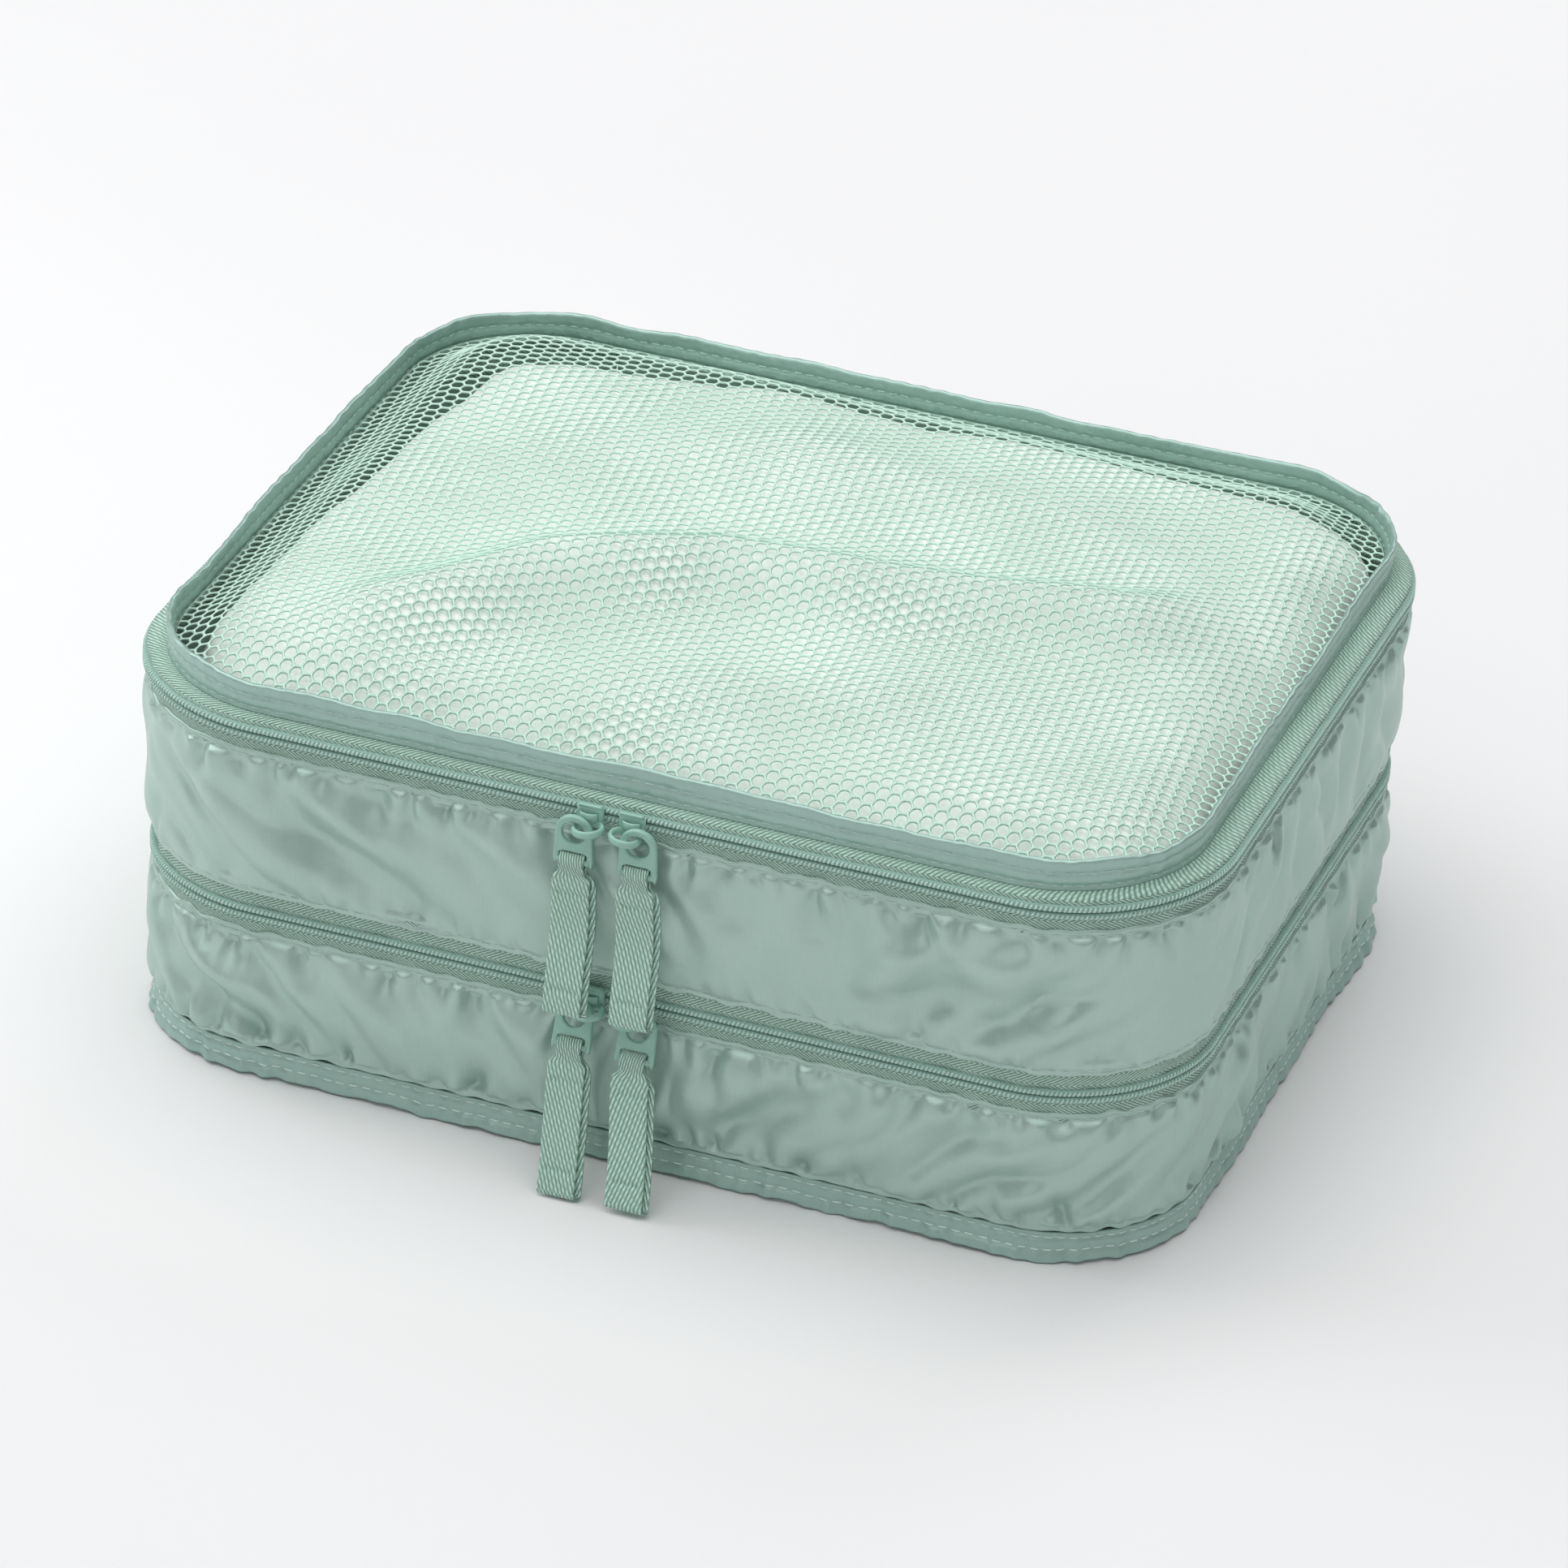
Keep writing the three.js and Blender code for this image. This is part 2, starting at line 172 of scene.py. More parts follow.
class Look:
    """A procedural material, built from maths on surface coordinates in millimetres."""

    def __init__(self, name, roughness, **sockets):
        self.material = bpy.data.materials.new(name)
        self.material.use_nodes = True
        self.tree = self.material.node_tree
        self.shader = self.tree.nodes["Principled BSDF"]
        self.shader.inputs["Roughness"].default_value = roughness
        for socket, value in sockets.items():
            self.shader.inputs[socket.replace("_", " ").title()].default_value = value

    def plug(self, socket, value):
        if isinstance(value, bpy.types.NodeSocket):
            self.tree.links.new(value, socket)
        else:
            socket.default_value = value

    def node(self, kind, *values, output=0, **settings):
        """First or named output of a new node, with its inputs plugged in their order."""
        node = self.tree.nodes.new(kind)
        for key, value in settings.items():
            setattr(node, key, value)
        for socket, value in zip(node.inputs, values):
            self.plug(socket, value)
        return node.outputs[output]

    def maths(self, operation, *values):
        return self.node("ShaderNodeMath", *values, operation=operation)

    def vector(self, x, y):
        return self.node("ShaderNodeCombineXYZ", x, y)

    def object_mm(self):
        """Object coordinates in millimetres."""
        place = self.node("ShaderNodeTexCoord", output="Object")
        scale = self.tree.nodes.new("ShaderNodeVectorMath")
        scale.operation = "SCALE"
        scale.inputs["Scale"].default_value = 1 / MM
        self.plug(scale.inputs[0], place)
        return scale.outputs[0]

    def surface_mm(self):
        """Millimetres along and across the strip, as two sockets."""
        split = self.tree.nodes.new("ShaderNodeSeparateXYZ")
        self.plug(split.inputs[0], self.node("ShaderNodeTexCoord", output="UV"))
        return split.outputs["X"], split.outputs["Y"]

    def noise(self, vector, scale, detail=2):
        node = self.tree.nodes.new("ShaderNodeTexNoise")
        node.inputs["Scale"].default_value = scale
        node.inputs["Detail"].default_value = detail
        self.plug(node.inputs["Vector"], vector)
        return node.outputs[0]

    def wave(self, value, pitch):
        """Sine between -1 and 1 that repeats every pitch."""
        return self.maths("SINE", self.maths("MULTIPLY", value, TAU / pitch))

    def colors(self, factor, low, high, dark, light):
        """Base colour that runs from dark to light as the factor goes from low to high."""
        ramp = self.tree.nodes.new("ShaderNodeValToRGB")
        for stop, place, color in zip(ramp.color_ramp.elements, (low, high), (dark, light)):
            stop.position = place
            stop.color = (*linear(color), 1)
        self.plug(ramp.inputs[0], factor)
        self.plug(self.shader.inputs["Base Color"], ramp.outputs[0])

    def roughen(self, factor, smooth, rough):
        spread = self.maths("MULTIPLY_ADD", factor, rough - smooth, smooth)
        self.plug(self.shader.inputs["Roughness"], spread)

    def bump(self, height, depth, normal=None):
        """Relief that is depth millimetres high where the height is 1."""
        node = self.tree.nodes.new("ShaderNodeBump")
        node.inputs["Distance"].default_value = depth * MM
        self.plug(node.inputs["Height"], height)
        if normal is not None:
            self.plug(node.inputs["Normal"], normal)
        self.plug(self.shader.inputs["Normal"], node.outputs[0])
        return node.outputs[0]


def linear(color):
    """Linear values of a colour written as three numbers from 0 to 255."""
    return [
        c / 12.92 if c <= 0.04045 else ((c + 0.055) / 1.055) ** 2.4
        for c in (channel / 255 for channel in color)
    ]


SATIN = (0.36, 0.48)  # roughness of the nylon where its thread is smooth and where it is rough
STRETCH = 0.06  # a slub is this much narrower than it is long
SLUBS = (3.2, 3)  # scale and detail
THREAD_PITCH = 0.46


def nylon_look(name, dark, light, crinkle_depth=0.16):
    """Closely woven nylon: satin gloss, with slubs along the thread in both directions."""
    look = Look(name, SATIN[0], sheen_weight=0.08, sheen_roughness=0.35, metallic=0.48)
    along, across = look.surface_mm()
    weft = look.noise(look.vector(look.maths("MULTIPLY", along, STRETCH), across), *SLUBS)
    warp = look.noise(look.vector(along, look.maths("MULTIPLY", across, STRETCH)), *SLUBS)
    slub = look.maths("MULTIPLY", look.maths("ADD", weft, warp), 0.5)
    cloud = look.noise(look.vector(along, across), 0.04)
    tone = look.maths("MULTIPLY_ADD", slub, 0.7, look.maths("MULTIPLY", cloud, 0.3))
    look.colors(tone, 0.3, 0.7, dark, light)
    look.roughen(slub, *SATIN)
    ribs = look.maths("MULTIPLY_ADD", look.wave(along, THREAD_PITCH), 0.12, slub)
    crinkle = look.noise(look.vector(along, across), 0.22)
    normal = look.bump(crinkle, crinkle_depth)
    look.bump(ribs, 0.035, normal)
    return look.material


def strands(look, place, along, loop, softness):
    """Height of rounded yarns side by side, one for each whole step of place."""
    number = look.maths("FLOOR", place)
    rounded = look.maths("SINE", look.maths("MULTIPLY", look.maths("FRACT", place), math.pi))
    turns = look.maths("MULTIPLY_ADD", number, 0.37, look.maths("DIVIDE", along, loop))
    loops = look.maths("SINE", look.maths("MULTIPLY", turns, TAU))
    return look.maths("MULTIPLY", rounded, look.maths("MULTIPLY_ADD", loops, softness, 1 - softness))


def woven_look(name, roughness, sheen, place, loop, grain, colors, depth):
    """Yarns side by side. place gives the surface's yarn number and the way along the yarn."""
    look = Look(name, roughness, sheen_weight=sheen)
    along, across = look.surface_mm()
    number, way = place(look, along, across)
    height = strands(look, number, way, *loop)
    fuzz = look.noise(look.vector(along, across), 3, grain)
    height = look.maths("MULTIPLY_ADD", fuzz, 0.25, height)
    # Painted shade and painted highlight: the base colour is darker in the grooves between the yarns
    # and lighter on their crests, with random fuzz in the tone.
    look.colors(height, *colors)
    look.bump(height, depth)
    return look.material


# Width of a stripe, how far a rib slants along for each step across, and width of a rib.
HERRINGBONE = {"stripe": 2.5, "slope": 1.7, "rib": 1.3}
TWILL_PITCH = 0.95


def tape_look():
    """Herringbone: ribs that slant one way and then the other in stripes along the tape."""
    def place(look, along, across):
        zigzag = look.maths("PINGPONG", across, HERRINGBONE["stripe"])
        slanted = look.maths("MULTIPLY_ADD", zigzag, HERRINGBONE["slope"], along)
        return look.maths("DIVIDE", slanted, HERRINGBONE["rib"]), zigzag

    # Colour in the grooves and on the crests of the ribs: painted shade and painted highlight.
    colors = (0.15, 1.0, (116, 160, 143), (208, 243, 227))
    return woven_look("zip_tape_herringbone", 0.75, 0.3, place, (0.8, 0.22), 2, colors, 0.45)


def twill_look(name, slant):
    def place(look, along, across):
        slanted = look.maths("MULTIPLY_ADD", along, slant, across)
        return look.maths("DIVIDE", slanted, TWILL_PITCH), along

    # Colour in the grooves and on the crests of the yarns: painted shade and painted highlight.
    colors = (0.2, 1.0, (128, 174, 157), (212, 248, 232))
    return woven_look(name, 0.8, 0.35, place, (2.0, 0.24), 3, colors, 0.5)


def thread_look(name, dark, light, roughness=0.6, sheen=0.2, scale=2.5, spread=0.15, depth=0.08):
    look = Look(name, roughness, sheen_weight=sheen)
    twist = look.noise(look.object_mm(), scale)
    look.colors(twist, 0.5 - spread, 0.5 + spread, dark, light)
    look.bump(twist, depth)
    return look.material


def painted_look():
    look = Look("satin_painted_metal", 0.38, coat_weight=0.25, coat_roughness=0.3)
    place = look.object_mm()
    cloud = look.noise(place, 0.35)
    look.colors(cloud, 0.3, 0.7, (144, 187, 173), (152, 195, 181))
    grain = look.noise(place, 5)
    look.roughen(grain, 0.3, 0.46)
    look.bump(grain, 0.02)
    return look.material


def knit_look():
    look = Look("pale_folded_clothes", 0.85, sheen_weight=0.3)
    place = look.object_mm()
    stitch = look.noise(place, 1.6)
    # The cloud's large soft blotches are painted shade, placed at random, standing for shading of
    # the folds; the stitch noise is the knit's own tone.
    cloud = look.noise(place, 0.03)
    tone = look.maths("MULTIPLY_ADD", stitch, 0.25, look.maths("MULTIPLY", cloud, 0.75))
    look.colors(tone, 0.35, 0.65, (230, 239, 232), (249, 253, 249))
    look.bump(stitch, 0.2)
    return look.material


def floor_look():
    look = Look("studio_paper", 0.9)
    place = look.object_mm()
    look.colors(look.noise(place, 0.004, 1), 0.3, 0.7, (230, 230, 231), (232, 232, 233))
    look.bump(look.noise(place, 0.6), 0.02)
    return look.material


LOOKS = {
    "nylon": nylon_look("satin_nylon", (172, 198, 189), (182, 208, 199)),
    "lining": nylon_look("lining_nylon", (172, 197, 188), (182, 206, 198)),
    "binding": nylon_look("seam_binding_nylon", (160, 190, 181), (170, 200, 191), 0.6),
    "tape": tape_look(),
    "coil": thread_look("polyester_coil", (178, 210, 199), (198, 228, 217), 0.45),
    "cord": thread_look("coil_core_cord", (132, 168, 157), (146, 182, 171), 0.5),
    "thread": thread_look("sewing_thread", (178, 207, 197), (198, 225, 215)),
    "pale_thread": thread_look("pale_sewing_thread", (214, 234, 227), (232, 247, 241)),
    "paint": painted_look(),
    "twill_left": twill_look("webbing_twill_left", 0.34),
    "twill_right": twill_look("webbing_twill_right", -0.34),
    "yarn": thread_look(
        "knitted_mesh_yarn", (192, 231, 214), (214, 244, 231), 0.62, 0.4, 3.2, 0.2, 0.1
    ),
    "knit": knit_look(),
    "floor": floor_look(),
}


# ---------------------------------------------------------------- outlines of the cube

def box_mm(node):
    low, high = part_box(node)
    return np.array(low) / MM, np.array(high) / MM


class Outline:
    """Rounded rectangle seen from above: width, depth, corner radius and height."""

    def __init__(self, w, d, r, z):
        self.w, self.d, self.r, self.z = w, d, r, z

    def grow(self, distance, z=None):
        return Outline(
            self.w + 2 * distance,
            self.d + 2 * distance,
            self.r + distance,
            self.z if z is None else z,
        )

    def toward(self, other, z):
        """The outline between this one and another, at height z, which may be an array."""
        t = (z - self.z) / (other.z - self.z)
        return Outline(
            self.w + (other.w - self.w) * t,
            self.d + (other.d - self.d) * t,
            self.r + (other.r - self.r) * t,
            z,
        )


COIL_PROUD = 0.95  # how far the coil stands out from the zip's own outline
SEAM_HEIGHT = 8  # bound seam round the lid and round the base


def zip_outline(level, radius):
    low, high = box_mm(f"{level}_zip_lower_coil")
    above, _ = box_mm(f"{level}_zip_upper_coil")
    return Outline(
        high[0] - low[0] - 2 * COIL_PROUD,
        2 * (-low[1] - COIL_PROUD),
        radius,
        (high[2] + above[2]) / 2,
    )


def bound_outline(node, radius, z):
    low, high = box_mm(node)
    return Outline(high[0] - low[0], high[1] - low[1], radius, z)


LOWER_ZIP = zip_outline("lower", 38)
UPPER_ZIP = zip_outline("upper", 41)
BASE = bound_outline("base_rim_binding", 35, 0)
RIM = bound_outline("lid_rim_binding", 36, box_mm("lid_rim_binding")[1][2])

# Places round the cube are given by q, the distance round from the middle of the front
# face, positive towards +X. On the front face q equals x.
HALF_FRONT = LOWER_ZIP.w / 2 - LOWER_ZIP.r
SIDE = LOWER_ZIP.d - 2 * LOWER_ZIP.r
ARC = math.pi / 2 * LOWER_ZIP.r
CORNER_1 = HALF_FRONT
CORNER_1_END = CORNER_1 + ARC
CORNER_2 = CORNER_1_END + SIDE
CORNER_2_END = CORNER_2 + ARC
HALF_ROUND = CORNER_2_END + HALF_FRONT
ROUND = 2 * HALF_ROUND


def around(q, outline):
    """Points on an outline at the places q, and the outward directions there."""
    hand = np.where(q < 0, -1.0, 1.0)
    s = np.abs(q)
    front = np.clip(s / HALF_FRONT, 0, 1)
    first = np.clip((s - CORNER_1) / ARC, 0, 1)
    flank = np.clip((s - CORNER_1_END) / SIDE, 0, 1)
    second = np.clip((s - CORNER_2) / ARC, 0, 1)
    back = np.clip((s - CORNER_2_END) / HALF_FRONT, 0, 1)
    angle = math.pi / 2 * (first + second)
    nx = hand * np.sin(angle)
    ny = -np.cos(angle)
    x = hand * (outline.w / 2 - outline.r) * (front - back) + outline.r * nx
    y = (outline.d / 2 - outline.r) * (2 * flank - 1) + outline.r * ny
    z = outline.z + np.zeros_like(x)
    normal = np.stack([nx, ny, np.zeros_like(nx)], -1)
    return np.stack([x, y, z], -1), normal + np.zeros_like(x)[..., None]


def smooth_step(t):
    t = np.clip(t, 0, 1)
    return t * t * (3 - 2 * t)


def places(count):
    """Evenly spaced places all the way round."""
    return -HALF_ROUND + ROUND * np.arange(count) / count


def zip_places(zip_line, count, end_x):
    """Places along a zip, which stops on the back face at end_x."""
    end = HALF_ROUND - HALF_FRONT * end_x / (zip_line.w / 2 - zip_line.r)
    return np.linspace(-end, end, count)


def wander(q, rng, longest, shortest, count=8):
    """Smooth random wave round the cube, about -1 to 1, that meets itself at the back."""
    cycles = rng.integers(max(1, int(ROUND / longest)), int(ROUND / shortest) + 1, count)
    phases = rng.uniform(0, TAU, count)
    waves = [np.sin(TAU * c * q / ROUND + p) for c, p in zip(cycles, phases)]
    return np.sum(waves, 0) / math.sqrt(count / 2) * 0.7


# ---------------------------------------------------------------- mesh making

def add_mesh(name, points, faces, look, uv=None, weld=0):
    """Smooth mesh object from points in millimetres, facing outwards.

    Points that are closer together than weld become one.
    """
    mesh = bpy.data.meshes.new(name)
    mesh.from_pydata((np.asarray(points) * MM).tolist(), [], faces)
    if uv is not None:
        layer = mesh.uv_layers.new(name="UVMap")
        layer.data.foreach_set("uv", np.asarray(uv, np.float32).ravel())
    solid = bmesh.new()
    solid.from_mesh(mesh)
    if weld:
        bmesh.ops.remove_doubles(solid, verts=solid.verts, dist=weld * MM)
    bmesh.ops.recalc_face_normals(solid, faces=solid.faces)
    solid.to_mesh(mesh)
    solid.free()
    mesh.polygons.foreach_set("use_smooth", [True] * len(mesh.polygons))
    mesh.materials.append(LOOKS[look])
    piece = bpy.data.objects.new(name, mesh)
    bpy.context.scene.collection.objects.link(piece)
    return piece


def strip_mesh(name, section, along, across, look, closed=True):
    """Solid band. section[k, i] is the k-th point of its closed section at the i-th place.

    along and across are the surface coordinates, with one more value than places or points
    where that direction meets itself.
    """
    rows, columns = section.shape[:2]
    row = np.arange(rows)[:, None]
    column = np.arange(columns if closed else columns - 1)[None, :]
    corners = [(row, column), (row, column + 1), (row + 1, column + 1), (row + 1, column)]
    quads = np.stack([(r % rows) * columns + c % columns for r, c in corners], -1)
    uv = np.stack([np.stack(np.broadcast_arrays(along[c], across[r]), -1) for r, c in corners], -2)
    faces = quads.reshape(-1, 4).tolist()
    uv = uv.reshape(-1, 2)
    if not closed:
        for end in (0, columns - 1):
            faces.append([r * columns + end for r in range(rows)])
            uv = np.concatenate([uv, np.stack([np.full(rows, along[end]), across[:-1]], -1)])
    return add_mesh(name, section.reshape(-1, 3), faces, look, uv)


def unit(vectors):
    return vectors / np.linalg.norm(vectors, axis=-1, keepdims=True)


def rods(name, paths, outward, radii, look, sides=6, loop=False):
    """Many small rods in one mesh. paths[i, j] is the j-th point of the i-th rod.

    radii gives, for each point, the half thickness sideways and outwards.
    """
    count, steps = paths.shape[:2]
    if loop:
        direction = unit(np.roll(paths, -1, 1) - np.roll(paths, 1, 1))
    else:
        direction = unit(np.gradient(paths, axis=1))
    sideways = unit(np.cross(direction, outward))
    lift = np.cross(sideways, direction)
    turn = TAU * np.arange(sides) / sides
    radii = np.broadcast_to(np.asarray(radii, float), (steps, 2))
    rings = (
        paths[:, :, None]
        + (radii[:, 0, None] * np.cos(turn))[None, :, :, None] * sideways[:, :, None]
        + (radii[:, 1, None] * np.sin(turn))[None, :, :, None] * lift[:, :, None]
    )
    index = np.arange(count * steps * sides).reshape(count, steps, sides)
    ahead = np.roll(index, -1, 1) if loop else index[:, 1:]
    here = index if loop else index[:, :-1]
    quads = np.stack([here, np.roll(here, -1, 2), np.roll(ahead, -1, 2), ahead], -1)
    faces = quads.reshape(-1, 4).tolist()
    if not loop:
        faces += index[:, 0].tolist() + index[:, -1].tolist()
    return add_mesh(name, rings.reshape(-1, 3), faces, look)


STITCH = {"length": 2.3, "gap": 0.9, "radius": 0.18}


def stitches(name, surface, row_length, rng, look="thread"):
    """Row of stitches. surface(q) gives points and outward directions at the places q."""
    pitch = STITCH["length"] + STITCH["gap"]
    count = round(row_length / pitch)
    middle = (np.arange(count) + 0.5) * row_length / count - HALF_ROUND
    middle = middle + rng.normal(0, 0.08, count)
    reach = np.array([-0.5, -0.36, 0, 0.36, 0.5]) * STITCH["length"]
    lift = np.array([-0.22, 0.02, 0.08, 0.02, -0.22])
    points, normal = surface(middle[:, None] + reach)
    radius = STITCH["radius"] * np.array([0.5, 1, 1, 1, 0.5])
    return rods(
        name,
        points + normal * lift[None, :, None],
        normal,
        np.stack([radius, radius], 1),
        look,
        sides=5,
    )


def ride(piece, body, slot, *nodes):
    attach(piece, body)
    if nodes:
        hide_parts(*nodes)


make_camera()
make_lights()


# ---------------------------------------------------------------- cloth walls

CLOTH = 0.5
HEM_STITCH = 1.6  # a hem's stitches run this far from its fold
HEM_PUFF = 0.6  # how far the cloth puffs out beside a hem
PUCKER_DEPTH = 1.5
TAPE_UNDER = 3.2  # the zip's tape reaches this far behind the cloth
TAPE_TOUCH = -0.4  # the cloth sinks no deeper than this where the tape is behind it


def beside_line(x, y, line):
    """Where points lie beside the nearest stretch of a line.

    Gives the distance, the parts of it to the line's left and past its ends, the number of
    the stretch and the share of it that is passed.
    """
    nearest = np.full(np.broadcast(x, y).shape, 1e9)
    found = [nearest] * 4
    for number, ((x0, y0), (x1, y1)) in enumerate(zip(line, line[1:])):
        length = math.hypot(x1 - x0, y1 - y0)
        ux, uy = (x1 - x0) / length, (y1 - y0) / length
        t = np.clip((x - x0) * ux + (y - y0) * uy, 0, length)
        gap_x, gap_y = x - x0 - t * ux, y - y0 - t * uy
        gap = np.hypot(gap_x, gap_y)
        here = (ux * gap_y - uy * gap_x, ux * gap_x + uy * gap_y, number, t / length)
        found = [np.where(gap < nearest, new, old) for new, old in zip(here, found)]
        nearest = np.minimum(gap, nearest)
    return nearest, *found


def bell(distance, width):
    """Bell curve: 1 at distance 0 and about a third at the width."""
    return np.exp(-(distance / width) ** 2)


# Ridge and valley of a fold: place beside its line and width, both in the fold's own widths.
RIDGE = (1.3, 1.1 * math.sqrt(2))
VALLEY = (-0.5, 0.85 * math.sqrt(2))
FOLD_DEPTH, FOLD_WIDTH = 1.28, 1.7


def crease(q, z, points, depth, width):
    """Soft fold that starts narrow at its first point: a ridge falling off into a valley."""
    line = smooth_line(points, 14)
    hand = 1 if line[-1][0] >= line[0][0] else -1
    start = line[0][0]
    near_q = start + (q - start + HALF_ROUND) % ROUND - HALF_ROUND
    _, left, beyond, number, passed = beside_line(near_q, z, line)
    share = (number + passed) / (len(line) - 1)
    spread = FOLD_WIDTH * width * (0.55 + 0.7 * share)
    across = hand * left / spread
    fade = bell(beyond, 2 * spread) * (1 - 0.35 * share)
    shape = bell(across - RIDGE[0], RIDGE[1]) - bell(across - VALLEY[0], VALLEY[1])
    return FOLD_DEPTH * depth * fade * shape


LEAN_OF_FOLDS = 1.3
# Depth, length and warp of the folds all over a wall.
FOLDS = ((2.7, 27, 5), (0.3, 12, 2))


def rumple(q, z, rng, length, warp):
    """Soft folds all over, rounded, with narrower valleys between them.

    On the front they run down towards its middle from the left and from the right.
    """
    total = np.zeros(np.broadcast(q, z).shape)
    lean = -LEAN_OF_FOLDS * np.sin(2 * TAU * q / ROUND)
    for slant in (0.0, 0.45, -0.4):
        bend = warp * wander(q + 0.5 * z, rng, 4 * length, 1.5 * length)
        bend = bend + 0.3 * warp * np.sin(z / (0.35 * length) + rng.uniform(0, TAU))
        cycles = round(ROUND / length / rng.uniform(0.8, 1.3))
        place = q + (lean + slant) * (z - 40) + bend
        turn = np.sin(math.pi * cycles * place / ROUND + rng.uniform(0, TAU))
        patch = np.clip(0.6 + 0.7 * wander(q - 0.4 * z, rng, 6 * length, 2 * length), 0, 1)
        total += patch * (np.sqrt(turn ** 2 + 0.06) - 0.6)
    return total


def smooth_line(points, steps):
    """The same line, rounded at its points."""
    t = np.linspace(0, len(points) - 1, steps)
    knots = np.arange(len(points))
    line = np.stack([np.interp(t, knots, [p[k] for p in points]) for k in (0, 1)], 1)
    for _ in range(3 if len(points) > 2 else 0):
        line[1:-1] = (line[:-2] + 2 * line[1:-1] + line[2:]) / 4
    return [tuple(point) for point in line]


# The front's own folds lie between these places.
FRONT_START, FRONT_END = -112, 136.0


class Wall:
    """Cloth wall of one compartment, from its lower edge to its upper one."""

    def __init__(self, node, low, high, bulge, foot_gather, creases, seed):
        self.node, self.low, self.high = node, low, high
        self.bulge, self.foot_gather, self.seed = bulge, foot_gather, seed
        self.foot_on_tape = low is LOWER_ZIP
        self.foot, self.head = (corner[2] for corner in box_mm(node))
        rng = np.random.default_rng(seed)
        self.creases = creases + self.unseen_creases(rng)
        self.puckers = [self.make_puckers(rng) for _ in range(2)]

    def unseen_creases(self, rng):
        """Folds like the front's, on the sides and the back."""
        found = []
        q = FRONT_END
        while q < ROUND + FRONT_START:
            slant = rng.choice([-1, 1]) * rng.uniform(0.3, 1.5)
            top = self.head - rng.uniform(2, 6)
            drop = rng.uniform(8, 0.75 * (self.head - self.foot))
            points = [
                (q, top),
                (q + slant * drop * 0.5, top - drop * 0.6),
                (q + slant * drop * 1.2, top - drop),
            ]
            found.append((points, rng.uniform(0.5, 1.3), rng.uniform(2.2, 4.8)))
            q += rng.uniform(13, 30)
        return found

    def make_puckers(self, rng):
        """Place, depth, width, reach and slant of each pucker along one hem."""
        spacing = rng.uniform(2.5, 9.0, int(ROUND / 5.75))
        spacing *= ROUND / spacing.sum()
        place = -HALF_ROUND + np.cumsum(spacing)
        count = len(place)
        return list(zip(
            place,
            rng.uniform(0.7, 2.4, count) ** 1.3,
            rng.uniform(0.9, 2.0, count),
            rng.uniform(1.6, 3.6, count) ** 2,
            rng.uniform(-0.35, 0.35, count),
        ))

    def pucker(self, q, edge, hem):
        """Gathers beside a hem, at a distance from the hem's fold."""
        total = np.zeros(np.broadcast(q, edge).shape)
        for place, depth, width, reach, slant in self.puckers[hem]:
            dq = (q - place - slant * edge + HALF_ROUND) % ROUND - HALF_ROUND
            spread = width * (1 + edge / 7)
            notch = bell(dq, spread) - 0.22 * bell(dq, 2.3 * spread)
            total -= PUCKER_DEPTH * depth * notch * bell(edge, reach)
        start = smooth_step((edge - 1.2) / 1.6)
        return (total + HEM_PUFF * bell(edge, 7)) * start

    def hem(self, edge):
        """Profile of a folded hem that is stitched down on the tape."""
        fold = 0.6 * (np.sqrt(1 - (1 - np.clip(edge / 0.6, 0, 1)) ** 2) - 1)
        stitch = -0.3 * bell(edge - HEM_STITCH, 0.6)
        return fold + stitch

    def rest_on_tape(self, out, edge):
        """Keeps the cloth from sinking through the zip's tape behind it."""
        deepest = TAPE_TOUCH - 6 * smooth_step((edge - TAPE_UNDER) / 2)
        gap = out - deepest
        return deepest + (gap + np.sqrt(gap ** 2 + 0.02)) / 2

    def offset(self, q, z):
        """How far the cloth stands out of its plain wall, and how far it is shifted up."""
        rng = np.random.default_rng(self.seed + 1)
        up, down = self.head - z, z - self.foot
        swell = (1 - np.exp(-np.clip(up - HEM_STITCH, 0, None) / 7))
        swell = swell * (1 - np.exp(-np.clip(down - 0.8, 0, None) / 4.5))
        fullness = 1 + 0.35 * wander(q, rng, 220, 60)
        out = self.bulge * swell * fullness
        out = out + 0.5 * swell * wander(q + 0.7 * z, rng, 60, 24)
        for depth, length, warp in FOLDS:
            out = out + depth * swell * rumple(q, z, rng, length, warp)
        for points, depth, width in self.creases:
            out = out + swell * crease(q, z, points, depth, width)
        out = out + self.pucker(q, up, 0) + self.foot_gather * self.pucker(q, down, 1)
        out = self.rest_on_tape(out, up)
        if self.foot_on_tape:
            out = self.rest_on_tape(out, down)
        out = out + self.hem(up) + self.hem(down)
        scallop = 0.32 * wander(q, rng, 16, 6, 14)
        shift = scallop * (bell(up, 2) + bell(down, 2))
        return out, shift

    def surface(self, q, z):
        """Points of the outer face and the outward directions there."""
        points, normal = around(q, self.low.toward(self.high, z))
        out, shift = self.offset(q, z)
        points = points + normal * out[..., None]
        points[..., 2] += shift
        return points, normal

    def make(self, name):
        """The wall as a solid of cloth, whose inner face is coarser than its outer one."""
        columns, rows, inner_rows = 1400, 56, 14
        t = np.linspace(0, 1, rows)
        spread = 0.45 * t + 0.55 * (0.5 - 0.5 * np.cos(math.pi * t))
        z = self.foot + (self.head - self.foot) * spread
        q = places(columns)
        outer, normal = self.surface(q[None, :], z[:, None])
        back = np.linspace(rows - 1, 0, inner_rows).round().astype(int)
        inner = outer[back] - normal[back] * CLOTH
        inner[0, :, 2] -= 0.1
        inner[-1, :, 2] += 0.1
        section = np.concatenate([outer, inner])
        heights = np.concatenate([z, z[back], z[:1]])
        along = np.append(q, HALF_ROUND)
        return strip_mesh(name, section, along, heights, "nylon")


